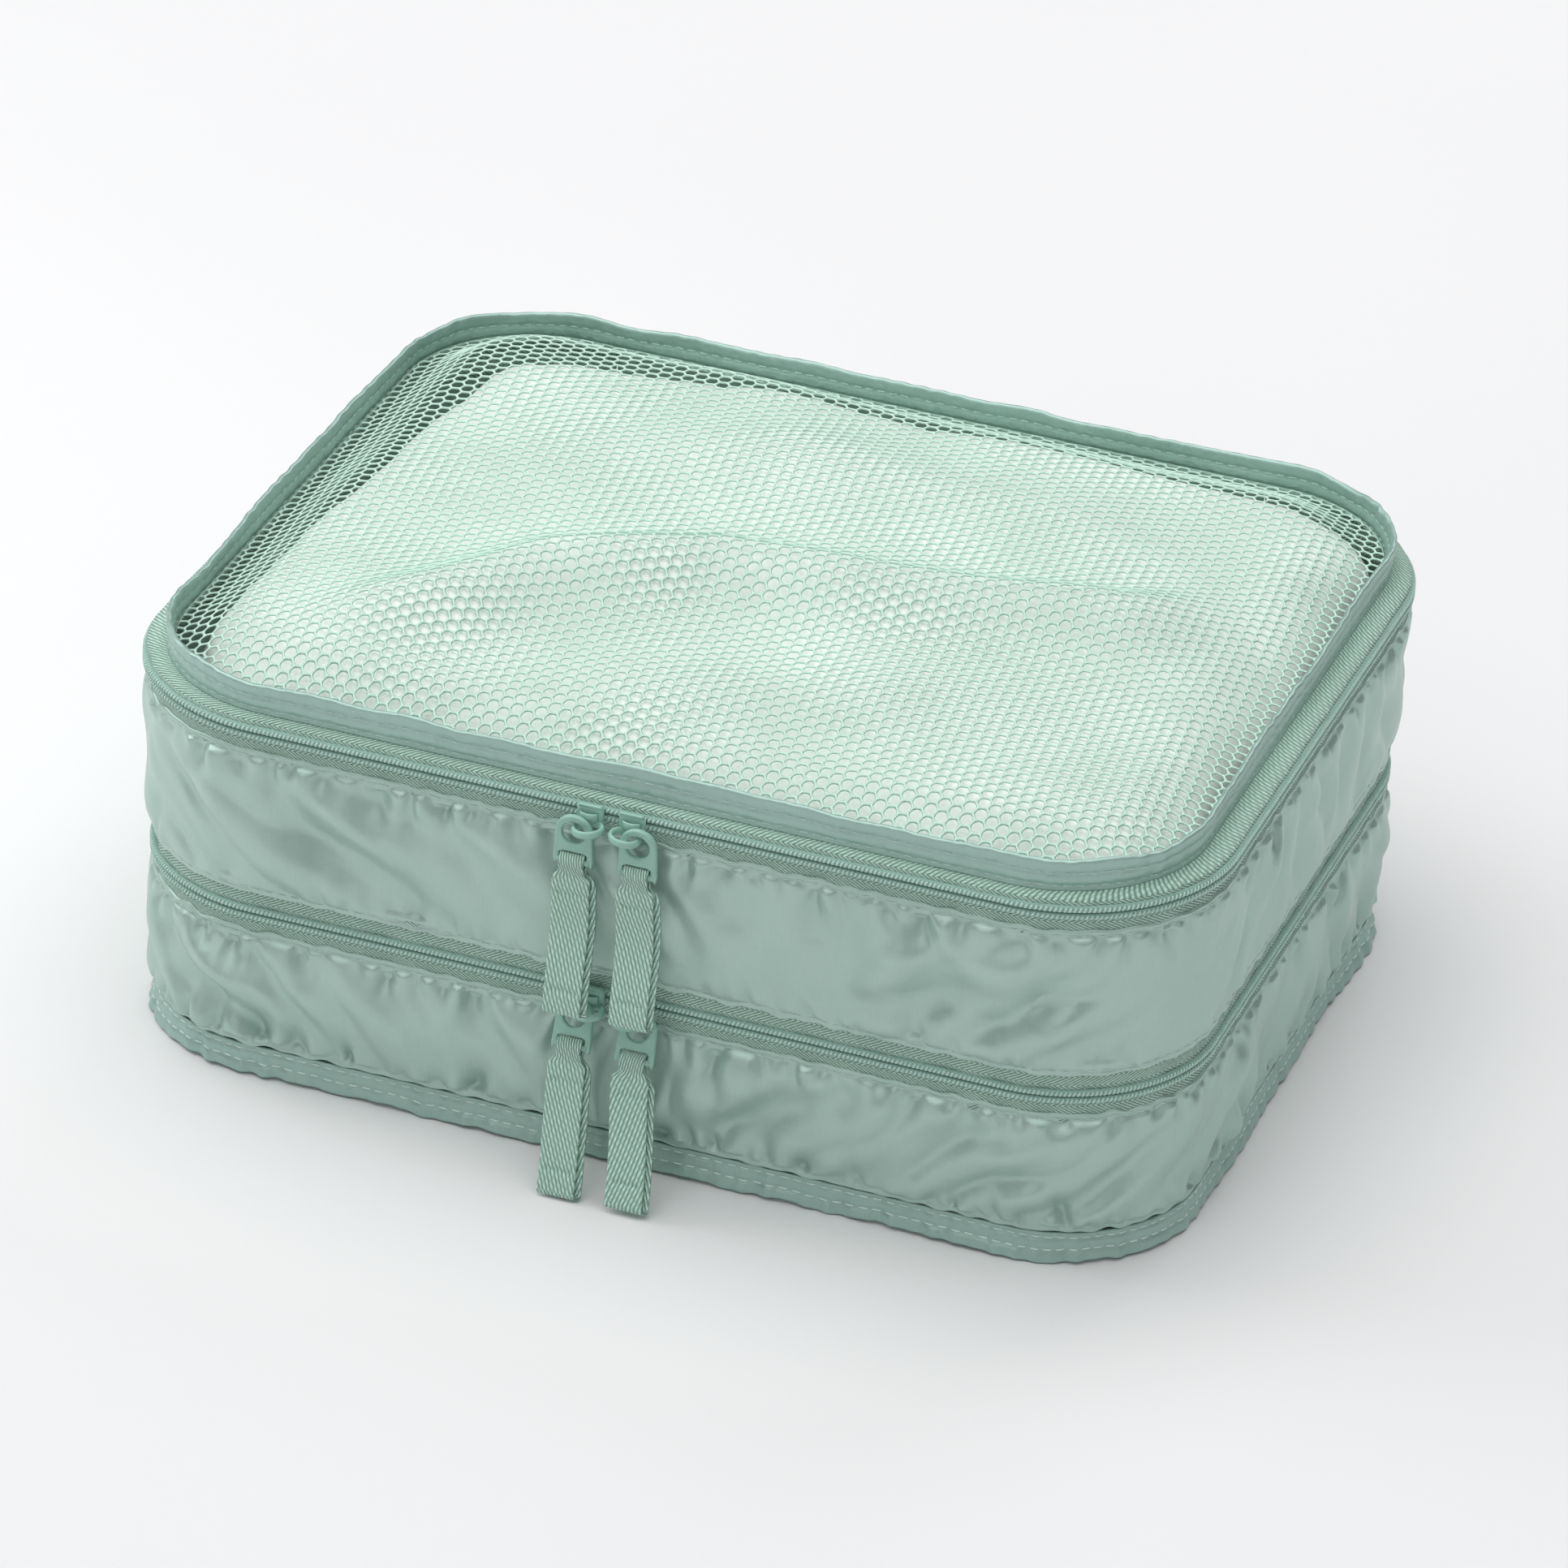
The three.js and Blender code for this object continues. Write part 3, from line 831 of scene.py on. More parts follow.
# Folds on the front: points (q, z) along each line, its depth and its width.
UPPER_CREASES = [
    ([(-114, 88), (-101, 64)], 2.3, 6.0),
    ([(-98, 88), (-93, 75)], 1.1, 2.6),
    ([(-84, 84), (-68, 68), (-54, 60)], 2.6, 4.6),
    ([(-59, 89), (-58, 83)], 0.9, 2.0),
    ([(-49, 83), (-42, 73)], 1.3, 2.8),
    ([(-36, 78), (-24, 62), (-17, 55)], 2.6, 4.8),
    ([(-6, 76), (3, 60)], 2.4, 4.4),
    ([(13, 77), (20, 66), (22, 57)], 1.8, 3.2),
    ([(34, 86), (30, 72), (36, 62)], 0.9, 3.4),
    ([(47, 86), (52, 76)], 1.4, 2.6),
    ([(59, 86), (61, 80)], 1.0, 2.0),
    ([(73, 85), (82, 75)], 1.4, 3.0),
    ([(64, 63), (90, 77), (112, 83)], 1.5, 3.6),
    ([(87, 62), (114, 77)], 1.0, 3.6),
    ([(104, 60), (122, 66), (134, 76)], 1.2, 3.8),
]
LOWER_CREASES = [
    ([(-116, 36), (-112, 22)], 0.8, 3.0),
    ([(-100, 25), (-82, 17), (-63, 11)], 2.3, 4.2),
    ([(-77, 32), (-59, 16)], 1.3, 3.0),
    ([(-48, 36), (-40, 24)], 1.0, 2.6),
    ([(-30, 30), (-20, 18)], 1.2, 3.4),
    ([(10, 12), (22, 17), (36, 27)], 2.6, 4.2),
    ([(28, 21), (43, 31), (56, 35)], 1.4, 2.8),
    ([(52, 12), (63, 19), (78, 29)], 2.3, 3.8),
    ([(77, 12), (91, 23), (110, 32)], 1.5, 3.2),
    ([(100, 14), (118, 24), (130, 30)], 0.9, 3.4),
]

upper_wall = Wall("upper_gusset", LOWER_ZIP, UPPER_ZIP, 0.4, 0.35, UPPER_CREASES, 11)
lower_wall = Wall("lower_gusset", BASE, LOWER_ZIP, 1.3, 1.15, LOWER_CREASES, 23)


def hang_wall(wall, body, stitched):
    """Makes a wall and the stitches along those of its hems that show."""
    cloth = wall.make(f"{wall.node}_cloth")
    ride(cloth, body, "nylon_cloth", wall.node)
    rng = np.random.default_rng(wall.seed + 2)
    heights = {"top": wall.head - HEM_STITCH, "bottom": wall.foot + HEM_STITCH}
    for edge in stitched:
        def surface(q, z=heights[edge]):
            return wall.surface(q, np.full(q.shape, z))

        row = stitches(f"{wall.node}_{edge}_stitches", surface, ROUND, rng)
        ride(row, body, "nylon_cloth")


hang_wall(upper_wall, "middle", ["top", "bottom"])
hang_wall(lower_wall, "base", ["top"])


# ---------------------------------------------------------------- bound seams

SEAM_THICK = 1.5
SEAM_STITCHES = (0.18, 0.58)  # places of its rows of stitches, as shares of its height


def bound_seam(name, node, body, outline, seam_z, free_z, splay, pucker, seed, thread):
    """Cloth binding folded over the seam, with two rows of stitches on each face."""
    rng = np.random.default_rng(seed)
    q = places(1300)
    up = 1.0 if free_z > seam_z else -1.0
    height = abs(free_z - seam_z)
    ripple = 0.3 * wander(q, rng, 90, 18, 10)
    lean = 0.45 * wander(q, rng, 160, 40, 8)
    small = pucker * wander(q, rng, 11, 4.5, 18)
    stitch_rows = [share * height for share in SEAM_STITCHES]

    def face(q_, rise, depth):
        """Point on the seam: rise from the seam's foot, depth in from the outer face."""
        points, normal = around(q_, outline)
        wave = np.interp(q_, q, ripple)
        tilt = np.interp(q_, q, lean)
        fine = np.interp(q_, q, small)
        share = rise / height
        out = (tilt + splay) * share ** 1.5 + fine * (0.3 + 0.7 * share) - depth
        points = points + normal * out[..., None]
        points[..., 2] = seam_z + up * (rise + wave * share)
        return points, normal

    def dent(rise):
        return sum(0.3 * bell(rise - row, 0.55) for row in stitch_rows)

    outer = np.linspace(0.25, height - 0.8, 16)
    cap = np.linspace(0, math.pi, 9)[1:-1]
    profile = [(0.0, 0.3)]
    profile += [(rise, dent(rise)) for rise in outer]
    for angle in cap:
        depth = SEAM_THICK / 2 * (1 - math.cos(angle))
        profile.append((height - 0.8 + 0.8 * math.sin(angle), depth))
    profile += [(rise, SEAM_THICK - dent(rise)) for rise in outer[::-1]]
    profile.append((0.0, SEAM_THICK - 0.3))
    section = np.stack([
        face(q, np.full(q.shape, rise), np.full(q.shape, depth))[0] for rise, depth in profile
    ])
    steps = np.hypot(*np.diff(np.array(profile + profile[:1]), axis=0).T)
    across = np.concatenate([[0], np.cumsum(steps)])
    piece = strip_mesh(name, section, np.append(q, HALF_ROUND), across, "binding")
    ride(piece, body, "seam_binding", node)
    for number, rise in enumerate(stitch_rows):
        for side, depth in (("outer", dent(rise)), ("inner", SEAM_THICK - dent(rise))):
            def surface(q_, rise=rise, depth=depth, side=side):
                points, normal = face(q_, np.full(q_.shape, rise), np.full(q_.shape, depth))
                return points, normal if side == "outer" else -normal

            row = stitches(f"{name}_{side}_stitches_{number + 1}", surface, ROUND, rng, thread)
            ride(row, body, "seam_binding")


rim_seam = RIM.z - SEAM_HEIGHT
bound_seam(
    "lid_rim_cloth", "lid_rim_binding", "lid", RIM, rim_seam, RIM.z,
    splay=0.3, pucker=0.13, seed=31, thread="thread",
)
bound_seam(
    "base_rim_cloth", "base_rim_binding", "base", BASE, SEAM_HEIGHT, BASE.z + 0.7,
    splay=1.3, pucker=0.3, seed=37, thread="pale_thread",
)


# ---------------------------------------------------------------- zips

TAPE = 0.6
TAPE_INSET = 0.6  # the tape's face lies this far inside the zip's outline
SLOT = 0.25  # each tape starts this far from the zip's middle
ZIP_END_X = 85  # where a zip stops on the back face
TOOTH = 1.02  # pitch of the coil
CORE = (0.88, 0.75)  # half height and half thickness of the cord inside the coil


def zip_tape(node, body, zip_line, path):
    """Tape in two layers of points: its outer face along path, and its inner face."""
    name = f"{node}_cloth"
    q = zip_places(zip_line, 700, ZIP_END_X)
    rng = np.random.default_rng(len(name))
    sway = 0.12 * wander(q, rng, 40, 9, 10)
    outer, inner = [], []
    for outline in path:
        points, normal = around(q, outline)
        outer.append(points + normal * sway[:, None])
        inner.append(outer[-1] - normal * TAPE)
    section = np.stack(outer + inner[::-1])
    start = path[0]
    reach = [math.hypot((o.d - start.d) / 2, o.z - start.z) for o in path]
    across = np.array(reach + reach[::-1] + reach[:1])
    piece = strip_mesh(name, section, q, across, "tape", closed=False)
    ride(piece, body, "zip_tape", node)


def coil(name, node, body, zip_line, side):
    """One half of the coil: a bead for each turn, over the sewing cord in its middle."""
    count = int(2 * zip_places(zip_line, 2, ZIP_END_X)[1] / TOOTH)
    shift = 0.25 if side > 0 else -0.25
    middle = zip_places(zip_line, count, ZIP_END_X) + shift * TOOTH
    # One turn's bead, from its root on the tape over the crest of the coil to its tip.
    rise = np.array([1.5, 1.35, 1.1, 0.8, 0.5, 0.36])
    lift = np.array([-0.15, 0.2, 0.42, 0.45, 0.3, 0.0])
    slant = np.array([0.3, 0.24, 0.1, -0.05, -0.18, -0.22]) * side
    width = np.array([0.14, 0.24, 0.29, 0.29, 0.24, 0.14])
    points, normal = around(middle[:, None] + slant[None, :], zip_line)
    points = points + normal * lift[None, :, None]
    points[..., 2] = zip_line.z + side * rise[None, :]
    beads = rods(name, points, normal, np.stack([width, width * 0.8], 1), "coil", sides=6)
    ride(beads, body, "zip_coil", node)
    q = zip_places(zip_line, 600, ZIP_END_X)
    cord, normal = around(q, zip_line.grow(-0.4))
    cord[:, 2] = zip_line.z + side * 0.95
    core = rods(f"{name}_core", cord[None], normal[None], CORE, "cord", sides=10)
    ride(core, body, "zip_coil")


zips = {
    "lower": (LOWER_ZIP, "base", "middle"),
    "upper": (UPPER_ZIP, "middle", "lid"),
}
for level, (line, body_below, body_above) in zips.items():
    coil(f"{level}_zip_lower_teeth", f"{level}_zip_lower_coil", body_below, line, -1)
    coil(f"{level}_zip_upper_teeth", f"{level}_zip_upper_coil", body_above, line, 1)

for node, body, line, low, high, side in (
    ("lower_zip_lower_tape", "base", LOWER_ZIP, BASE, LOWER_ZIP, -1),
    ("lower_zip_upper_tape", "middle", LOWER_ZIP, LOWER_ZIP, UPPER_ZIP, 1),
    ("upper_zip_lower_tape", "middle", UPPER_ZIP, LOWER_ZIP, UPPER_ZIP, -1),
):
    far_edge = box_mm(node)[(side + 1) // 2][2]
    heights = np.linspace(line.z + side * SLOT, far_edge, 4)
    zip_tape(node, body, line, [low.toward(high, z).grow(-TAPE_INSET) for z in heights])

lid_turn = UPPER_ZIP.grow(-TAPE_INSET, UPPER_ZIP.z + 2.9)
lid_edge = RIM.grow(-1.0, rim_seam + 0.4)
zip_tape("upper_zip_upper_tape", "lid", UPPER_ZIP, [
    UPPER_ZIP.grow(-TAPE_INSET, UPPER_ZIP.z + SLOT),
    UPPER_ZIP.grow(-TAPE_INSET + 0.05, UPPER_ZIP.z + 1.8),
    lid_turn,
    lid_turn.toward(lid_edge, (lid_turn.z + lid_edge.z) / 2).grow(0.2),
    lid_edge,
])


# ---------------------------------------------------------------- cloth hinges at the back


def hinge(name, nodes, path, zip_line):
    """Strip of cloth between the ends of a zip."""
    q_end = zip_places(zip_line, 2, ZIP_END_X)[1] + 0.3
    span = np.linspace(q_end, ROUND - q_end, 160)
    q = np.where(span > HALF_ROUND, span - ROUND, span)
    sway = 0.15 * wander(q, np.random.default_rng(5), 60, 12, 10)
    rows = np.linspace(0, len(path) - 1, 15)
    z = np.interp(rows, range(len(path)), [outline.z for outline in path])
    depths = np.interp(rows, range(len(path)), [outline.d for outline in path])
    outer = []
    for height, depth in zip(z, depths):
        outline = Outline(zip_line.w - zip_line.d + depth, depth, zip_line.r, height)
        points, normal = around(q, outline)
        outer.append(points + normal * (sway[:, None] - TAPE_INSET * 0.9))
    inner = [points - normal * TAPE for points in outer[::-1]]
    section = np.stack(outer + inner)
    across = np.concatenate([z, z[::-1], z[:1]])
    piece = strip_mesh(name, section, span, across, "nylon", closed=False)
    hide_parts(*nodes)
    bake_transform(piece)


hinge(
    "compartment_hinge_cloth", ["base_hinge_strip", "middle_base_hinge_strip"],
    [
        BASE.toward(LOWER_ZIP, lower_wall.head - 2),
        LOWER_ZIP,
        LOWER_ZIP.toward(UPPER_ZIP, upper_wall.foot + 2),
    ],
    LOWER_ZIP,
)
hinge(
    "lid_hinge_cloth", ["middle_lid_hinge_strip", "lid_hinge_strip"],
    [
        LOWER_ZIP.toward(UPPER_ZIP, upper_wall.head - 2),
        UPPER_ZIP,
        UPPER_ZIP.grow(0, UPPER_ZIP.z + 2.2),
        RIM.grow(0.4, rim_seam + 0.6),
    ],
    UPPER_ZIP,
)


# ---------------------------------------------------------------- lid mesh and its filling

NET_OUTLINE = RIM.grow(-2.0, 101.3)
NET_PITCH = 3.3  # from hole to hole
NET_TURN = 37
NET_REACH, NET_MARGIN = 190, 1.2  # how far the flat net reaches, and how far past the rim
HOLE = 1.37  # radius
YARN = 0.3  # half thickness


def past_corners(x, y, outline):
    """How far points lie past the start of the nearest rounded corner, in x and in y."""
    past_x = np.abs(x) - (outline.w / 2 - outline.r)
    past_y = np.abs(y) - (outline.d / 2 - outline.r)
    return past_x, past_y


def depth_inside(x, y, outline):
    """Distance inwards from a rounded rectangle, negative outside it."""
    px, py = past_corners(x, y, outline)
    outside = np.hypot(np.clip(px, 0, None), np.clip(py, 0, None))
    return outline.r - outside - np.minimum(np.maximum(px, py), 0)


# Ridges of the filling under the mesh, seen from above: the line, how high it is, how wide on
# its front and on its back side, and how steeply its ends rise.
RIDGES = [
    (
        [(-104, -84), (-88, -73), (-67, -54), (-49, -30), (-15, -10), (24, -7), (80, 7), (112, 34)],
        7.5, 15, 10, 5,
    ),
    ([(-40, -78), (10, -62), (60, -48)], 1.6, 12, 12, 4),
    ([(-70, 40), (-20, 52), (40, 48), (92, 60)], 1.8, 14, 14, 4),
]


def ridge_height(x, y, line, height, front, back, ends):
    """How high one ridge of the filling lifts the mesh."""
    gap, left, _, number, passed = beside_line(x, y, line)
    lengths = np.array([math.dist(a, b) for a, b in zip(line, line[1:])])
    done = np.cumsum(lengths) - lengths
    number = number.astype(int)
    share = (done[number] + passed * lengths[number]) / lengths.sum()
    side = np.where(left < 0, front, back)
    return height * bell(gap, side) * smooth_step(share * ends) * smooth_step((1 - share) * ends)


def mesh_height(x, y):
    """Height of the lid mesh, pushed up by what is packed under it."""
    inside = depth_inside(x, y, NET_OUTLINE)
    far_left = smooth_step((0.7 * y - x + 60) / 180)
    rise = (5.2 + 3.0 * far_left) * smooth_step(inside / 19) + 3.2 * smooth_step(inside / 70)
    crest = sum(ridge_height(x, y, *shape) for shape in RIDGES)
    roll = 0.5 * np.sin(x / 11 + y / 17) + 0.4 * np.sin(x / 19 - y / 9 + 1)
    return NET_OUTLINE.z + rise + (crest + roll) * smooth_step(inside / 22)


def clamp_inside(x, y, outline):
    """Moves points that lie outside an outline onto it."""
    out = np.clip(-depth_inside(x, y, outline), 0, None)
    cx, cy = (np.clip(past, 1e-9, None) for past in past_corners(x, y, outline))
    reach = np.hypot(cx, cy)
    return x - np.sign(x) * out * cx / reach, y - np.sign(y) * out * cy / reach


def net_place(px, py):
    """Place on the lid of a point of the flat net, whose rows are turned and bent a little."""
    turn = math.radians(NET_TURN)
    bend = 0.05 * np.sin(px / 60) + 0.04 * np.sin(py / 45 + 1)
    x = px * math.cos(turn) - py * math.sin(turn)
    y = px * math.sin(turn) + py * math.cos(turn)
    return x + 28 * bend, y + 22 * bend


def make_net():
    """Knitted mesh with round holes: each cell is a ring of yarn round one hole."""
    step = NET_PITCH * math.sqrt(3) / 2
    rows = np.arange(-int(NET_REACH / step), int(NET_REACH / step) + 1)
    columns = np.arange(-int(NET_REACH / NET_PITCH), int(NET_REACH / NET_PITCH) + 1)
    column, row = np.meshgrid(columns, rows)
    cx = (column + 0.5 * (row % 2)).ravel() * NET_PITCH
    cy = row.ravel() * step
    keep = depth_inside(*net_place(cx, cy), NET_OUTLINE) > -NET_MARGIN
    cx, cy = cx[keep, None], cy[keep, None]

    def ring(angle, radius):
        x, y = net_place(cx + radius * np.cos(angle), cy + radius * np.sin(angle))
        x, y = clamp_inside(x, y, NET_OUTLINE)
        return np.stack([x, y, mesh_height(x, y)], -1)

    corners = ring(TAU * (np.arange(6) + 0.5) / 6, NET_PITCH / math.sqrt(3))
    hole = ring(TAU * np.arange(12) / 12, HOLE)
    lift = np.array([0, 0, YARN])
    points = np.concatenate([corners + lift, hole, corners - lift], 1)
    # A cell's points are six corners on top, twelve round the hole and six corners below.
    top = []
    for i in range(6):
        a, b, c = (6 + (2 * i + k) % 12 for k in range(3))
        before = (i + 5) % 6
        top += [[i, a, b], [i, b, c], [before, a, i]]
    under = [[18 + p if p < 6 else p for p in face[::-1]] for face in top]
    first = 24 * np.arange(len(cx))[:, None, None]
    faces = (first + np.array(top + under)).reshape(-1, 3)
    points = points.reshape(-1, 3)
    piece = add_mesh("lid_mesh_net", points, faces.tolist(), "yarn", weld=0.02)
    ride(piece, "lid", "net_mesh", "lid_mesh_panel")


def folds(x, y):
    """Depth of the wrinkles in the clothes."""
    slow = np.sin(x / 31 + 0.8 * np.sin(y / 27) + 1)
    first = np.abs(np.sin((0.8 * x + 0.6 * y) / 24 + slow)) ** 0.6
    second = np.abs(np.sin((0.5 * x - 0.9 * y) / 33 + 1.3 * slow + 2)) ** 0.6
    return 2.0 * (1 - first) + 1.7 * (1 - second)


CLOTHES_FOOT = 56
# Where the clothes leave a gap beside the rim: the place round the cube, its reach and depth.
GAPS = ((-330, 70, 19), (-235, 80, 8), (345, 30, 3))
GAP, UNDER_MESH = 3.2, 1.0
SHOULDER_WIDTH, SHOULDER_DROP = 9, 7.5


def make_filling():
    """Folded clothes that fill the upper compartment and push the mesh up."""
    q = places(420)
    inset = GAP + 0.9 * np.sin(q / 13) + 0.6 * np.sin(q / 7.3 + 1)
    for place, width, depth in GAPS:
        inset += depth * bell(q - place, width)
    edge, normal = around(q, NET_OUTLINE)
    edge = edge - normal * inset[:, None]
    shares = np.concatenate([np.linspace(0.02, 0.9, 44), np.linspace(0.915, 1, 12)])
    top = []
    for share in shares:
        x, y, _ = (edge * share).T
        shoulder = np.clip(1 - (depth_inside(x, y, NET_OUTLINE) - inset) / SHOULDER_WIDTH, 0, 1)
        z = mesh_height(x, y) - UNDER_MESH - folds(x, y)
        z -= SHOULDER_DROP * (1 - np.sqrt(1 - 0.999 * shoulder ** 2))
        top.append(np.stack([x, y, z], -1))
    side = []
    for drop in np.linspace(0.04, 1, 44):
        layers = 2.2 * abs(math.sin(5 * math.pi * drop)) ** 0.5 - 0.8
        ring = edge + normal * (layers + 0.5 * np.sin(q / 9 + 6 * drop))[:, None]
        ring[:, 2] = top[-1][:, 2] * (1 - drop) + CLOTHES_FOOT * drop
        side.append(ring)
    rings = top + side
    middles = [[0, 0, mesh_height(0, 0) - UNDER_MESH], [0, 0, CLOTHES_FOOT]]
    points = np.concatenate(rings + [middles])
    count = len(q)
    here = np.arange(count)
    ahead = (here + 1) % count
    faces = []
    for first in range(0, (len(rings) - 1) * count, count):
        corners = [here, ahead, ahead + count, here + count]
        faces += (first + np.stack(corners, -1)).tolist()
    last = (len(rings) - 1) * count
    for i, j in zip(here.tolist(), ahead.tolist()):
        faces += [[i, j, len(points) - 2], [last + i, last + j, len(points) - 1]]
    piece = add_mesh("packed_clothes", points, faces, "knit")
    ride(piece, "middle", "lining_cloth")


make_net()
make_filling()


# ---------------------------------------------------------------- floors of the compartments

PANEL = 0.7
BOTTOM_TUCK, BOTTOM_LIFT = 2.6, 0.8  # the bottom reaches into its binding and lies on its fold


def panel(name, node, body, outline, low_z, look, slot, seed):
    """Cloth floor with a slight wave."""
    rng = np.random.default_rng(seed)
    q = places(300)
    edge, _ = around(q, outline)
    shares = np.concatenate([[0.001, 0.003], np.linspace(0.03, 1, 35)])
    phase = rng.uniform(0, TAU, 4)

    def wave(x, y):
        fade = smooth_step(depth_inside(x, y, outline) / 20)
        swell = np.sin(x / 23 + y / 41 + phase[0]) + np.sin(y / 19 - x / 37 + phase[1])
        fine = 0.4 * np.sin(x / 9 + y / 13 + phase[2]) + 0.3 * np.sin(x / 7 - y / 11 + phase[3])
        return 0.3 * (2 + swell * 0.7 + fine) * fade

    layers = []
    for height, order in ((PANEL, shares), (0, shares[::-1])):
        for share in order:
            x, y, _ = (edge * share).T
            layers.append(np.stack([x, y, low_z + height + wave(x, y)], -1))
    section = np.stack(layers)
    along = np.append(q, HALF_ROUND)
    reach = np.concatenate([shares, shares[::-1], shares[:1]]) * 100
    piece = strip_mesh(name, section, along, reach, look)
    ride(piece, body, slot, node)


bottom_outline = bound_outline("bottom_panel", 32.3, 0).grow(BOTTOM_TUCK)
bottom_z = box_mm("bottom_panel")[0][2] + BOTTOM_LIFT
panel(
    "bottom_cloth", "bottom_panel", "base", bottom_outline, bottom_z, "nylon", "nylon_cloth", 41
)
divider_outline = bound_outline("divider_panel", 36.4, 0)
divider_z = box_mm("divider_panel")[0][2]
panel(
    "divider_cloth", "divider_panel", "middle", divider_outline, divider_z,
    "lining", "lining_cloth", 43,
)


# ---------------------------------------------------------------- sliders and pulls

def plate(outlines, thickness, bevel):
    """Flat plate with rounded edges, in X and Z, from an outer outline and its holes."""
    data = bpy.data.curves.new("plate", "CURVE")
    data.dimensions = "2D"
    data.fill_mode = "BOTH"
    data.extrude = thickness / 2 - bevel
    data.bevel_depth = bevel
    data.bevel_resolution = 3
    data.offset = -bevel
    for outline in outlines:
        spline = data.splines.new("POLY")
        spline.points.add(len(outline) - 1)
        for point, (x, z) in zip(spline.points, outline):
            point.co = (x, z, 0, 1)
        spline.use_cyclic_u = True
    source = bpy.data.objects.new("plate", data)
    bpy.context.scene.collection.objects.link(source)
    graph = bpy.context.evaluated_depsgraph_get()
    mesh = bpy.data.meshes.new_from_object(source.evaluated_get(graph))
    bpy.data.objects.remove(source)
    bpy.data.curves.remove(data)
    points = np.array([v.co for v in mesh.vertices])
    faces = [list(p.vertices) for p in mesh.polygons]
    bpy.data.meshes.remove(mesh)
    points = np.stack([points[:, 0], -points[:, 2], points[:, 1]], 1)
    return points, faces


def arc(cx, cz, radius, start, end, steps):
    angles = np.radians(np.linspace(start, end, steps))
    return [(cx + radius * math.cos(a), cz + radius * math.sin(a)) for a in angles]


def merge(parts):
    """One list of points and faces from several."""
    points, faces, base = [], [], 0
    for part_points, part_faces in parts:
        points.append(np.asarray(part_points))
        faces += [[base + i for i in face] for face in part_faces]
        base += len(part_points)
    return np.concatenate(points), faces


def loft(rings, closed_ends=True):
    """Points and faces of a skin over a list of rings with the same number of points."""
    rings = np.asarray(rings)
    count, sides = rings.shape[:2]
    faces = []
    for first in range(0, (count - 1) * sides, sides):
        for i in range(sides):
            j = (i + 1) % sides
            faces.append([first + i, first + j, first + sides + j, first + sides + i])
    if closed_ends:
        faces.append(list(range(sides)))
        faces.append([(count - 1) * sides + i for i in range(sides)])
    return rings.reshape(-1, 3), faces


def hoop(centre, first, second, sides):
    """Ellipse of points round a centre, from its two half axes."""
    turn = np.linspace(0, TAU, sides, False)[:, None]
    return np.array(centre) + np.cos(turn) * np.array(first) + np.sin(turn) * np.array(second)


# Pull tab: radius of its hole and of its head, half width, and its lower bar and legs.
HOLE_RADIUS, HEAD_RADIUS, TAB_HALF = 2.9, 4.5, 4.8
BAR_DROP, BAR_RADIUS, LEG_INNER, LEG_DROP = 7.3, 0.8, 3.3, 1.4
# Slider's ring: half its width, half its depth, how far it hangs below the zip, how far out.
LOOP_HALF, LOOP_REACH, LOOP_DROP, LOOP_OUT = 3.3, 3.0, 2.2, 4.75
LOOP_SHIFT = 0.5  # its middle lies this far along from the slider's
SLIDER_LENGTH = 8.8


def slider_flange(side):
    """Rolled edge along the top or the bottom of the slider's front plate."""
    profile = ((-0.5, 0), (-0.3, 0.35), (0.3, 0.4), (0.8, 0.2), (0.8, -0.15), (0, -0.3))
    rings = []
    for x in np.linspace(-2.9, 2.9, 9):
        lift = 0.05 * math.sin(math.pi * (x + 2.9) / 5.8)
        rings.append([(x, -1.9 + dy - lift, side * (2.25 + dz)) for dy, dz in profile])
    return loft(rings)


def slider_parts(mirror):
    """Slider with its crown and ring. Local origin on the zip's centre line, front is -Y."""
    outline = (
        arc(-2.2, 1.6, 1.0, 90, 160, 6) + arc(-2.2, -1.6, 1.0, 200, 270, 6)
        + arc(1.8, -0.9, 1.5, 300, 360, 7) + arc(1.8, 0.9, 1.5, 0, 60, 7)
    )
    outline = [(-mirror * x, z) for x, z in outline]
    front, front_faces = plate([outline], 1.3, 0.5)
    front[:, 1] += -1.95 + 0.03 * front[:, 0] ** 2 + 0.02 * front[:, 2] ** 2
    back, back_faces = plate([outline], 1.0, 0.35)
    back = back * (0.95, 1, 0.82) + (0, 2.4, 0)
    post = [hoop((0, y, 0), (0.8, 0, 0), (0, 0, 0.17), 8) for y in np.linspace(-1.6, 2.0, 4)]
    bridge = []
    for t in np.linspace(0, 1, 11):
        centre = (mirror * (-2.4 + 4.4 * t), -2.5 - 0.85 * math.sin(math.pi * t) ** 0.7, 0)
        bridge.append(hoop(centre, (0, 0, 1), (0, 0.42, 0), 10))
    return [
        (front, front_faces), (back, back_faces), slider_flange(-1), slider_flange(1),
        loft(post), loft(bridge), slider_ring(mirror),
    ]


def slider_ring(mirror):
    """Curled band through the tab's hole, lying level."""
    rings = []
    for angle in np.linspace(0, TAU, 40, False):
        outward = np.array([math.cos(angle), math.sin(angle), 0])
        centre = outward * (LOOP_HALF, LOOP_REACH, 0)
        centre += (mirror * LOOP_SHIFT, -LOOP_OUT, 0.35 * math.cos(angle) * mirror - LOOP_DROP)
        rings.append(hoop(centre, 0.6 * outward, (0, 0, 0.95), 12))
    return loft(rings + rings[:1], closed_ends=False)


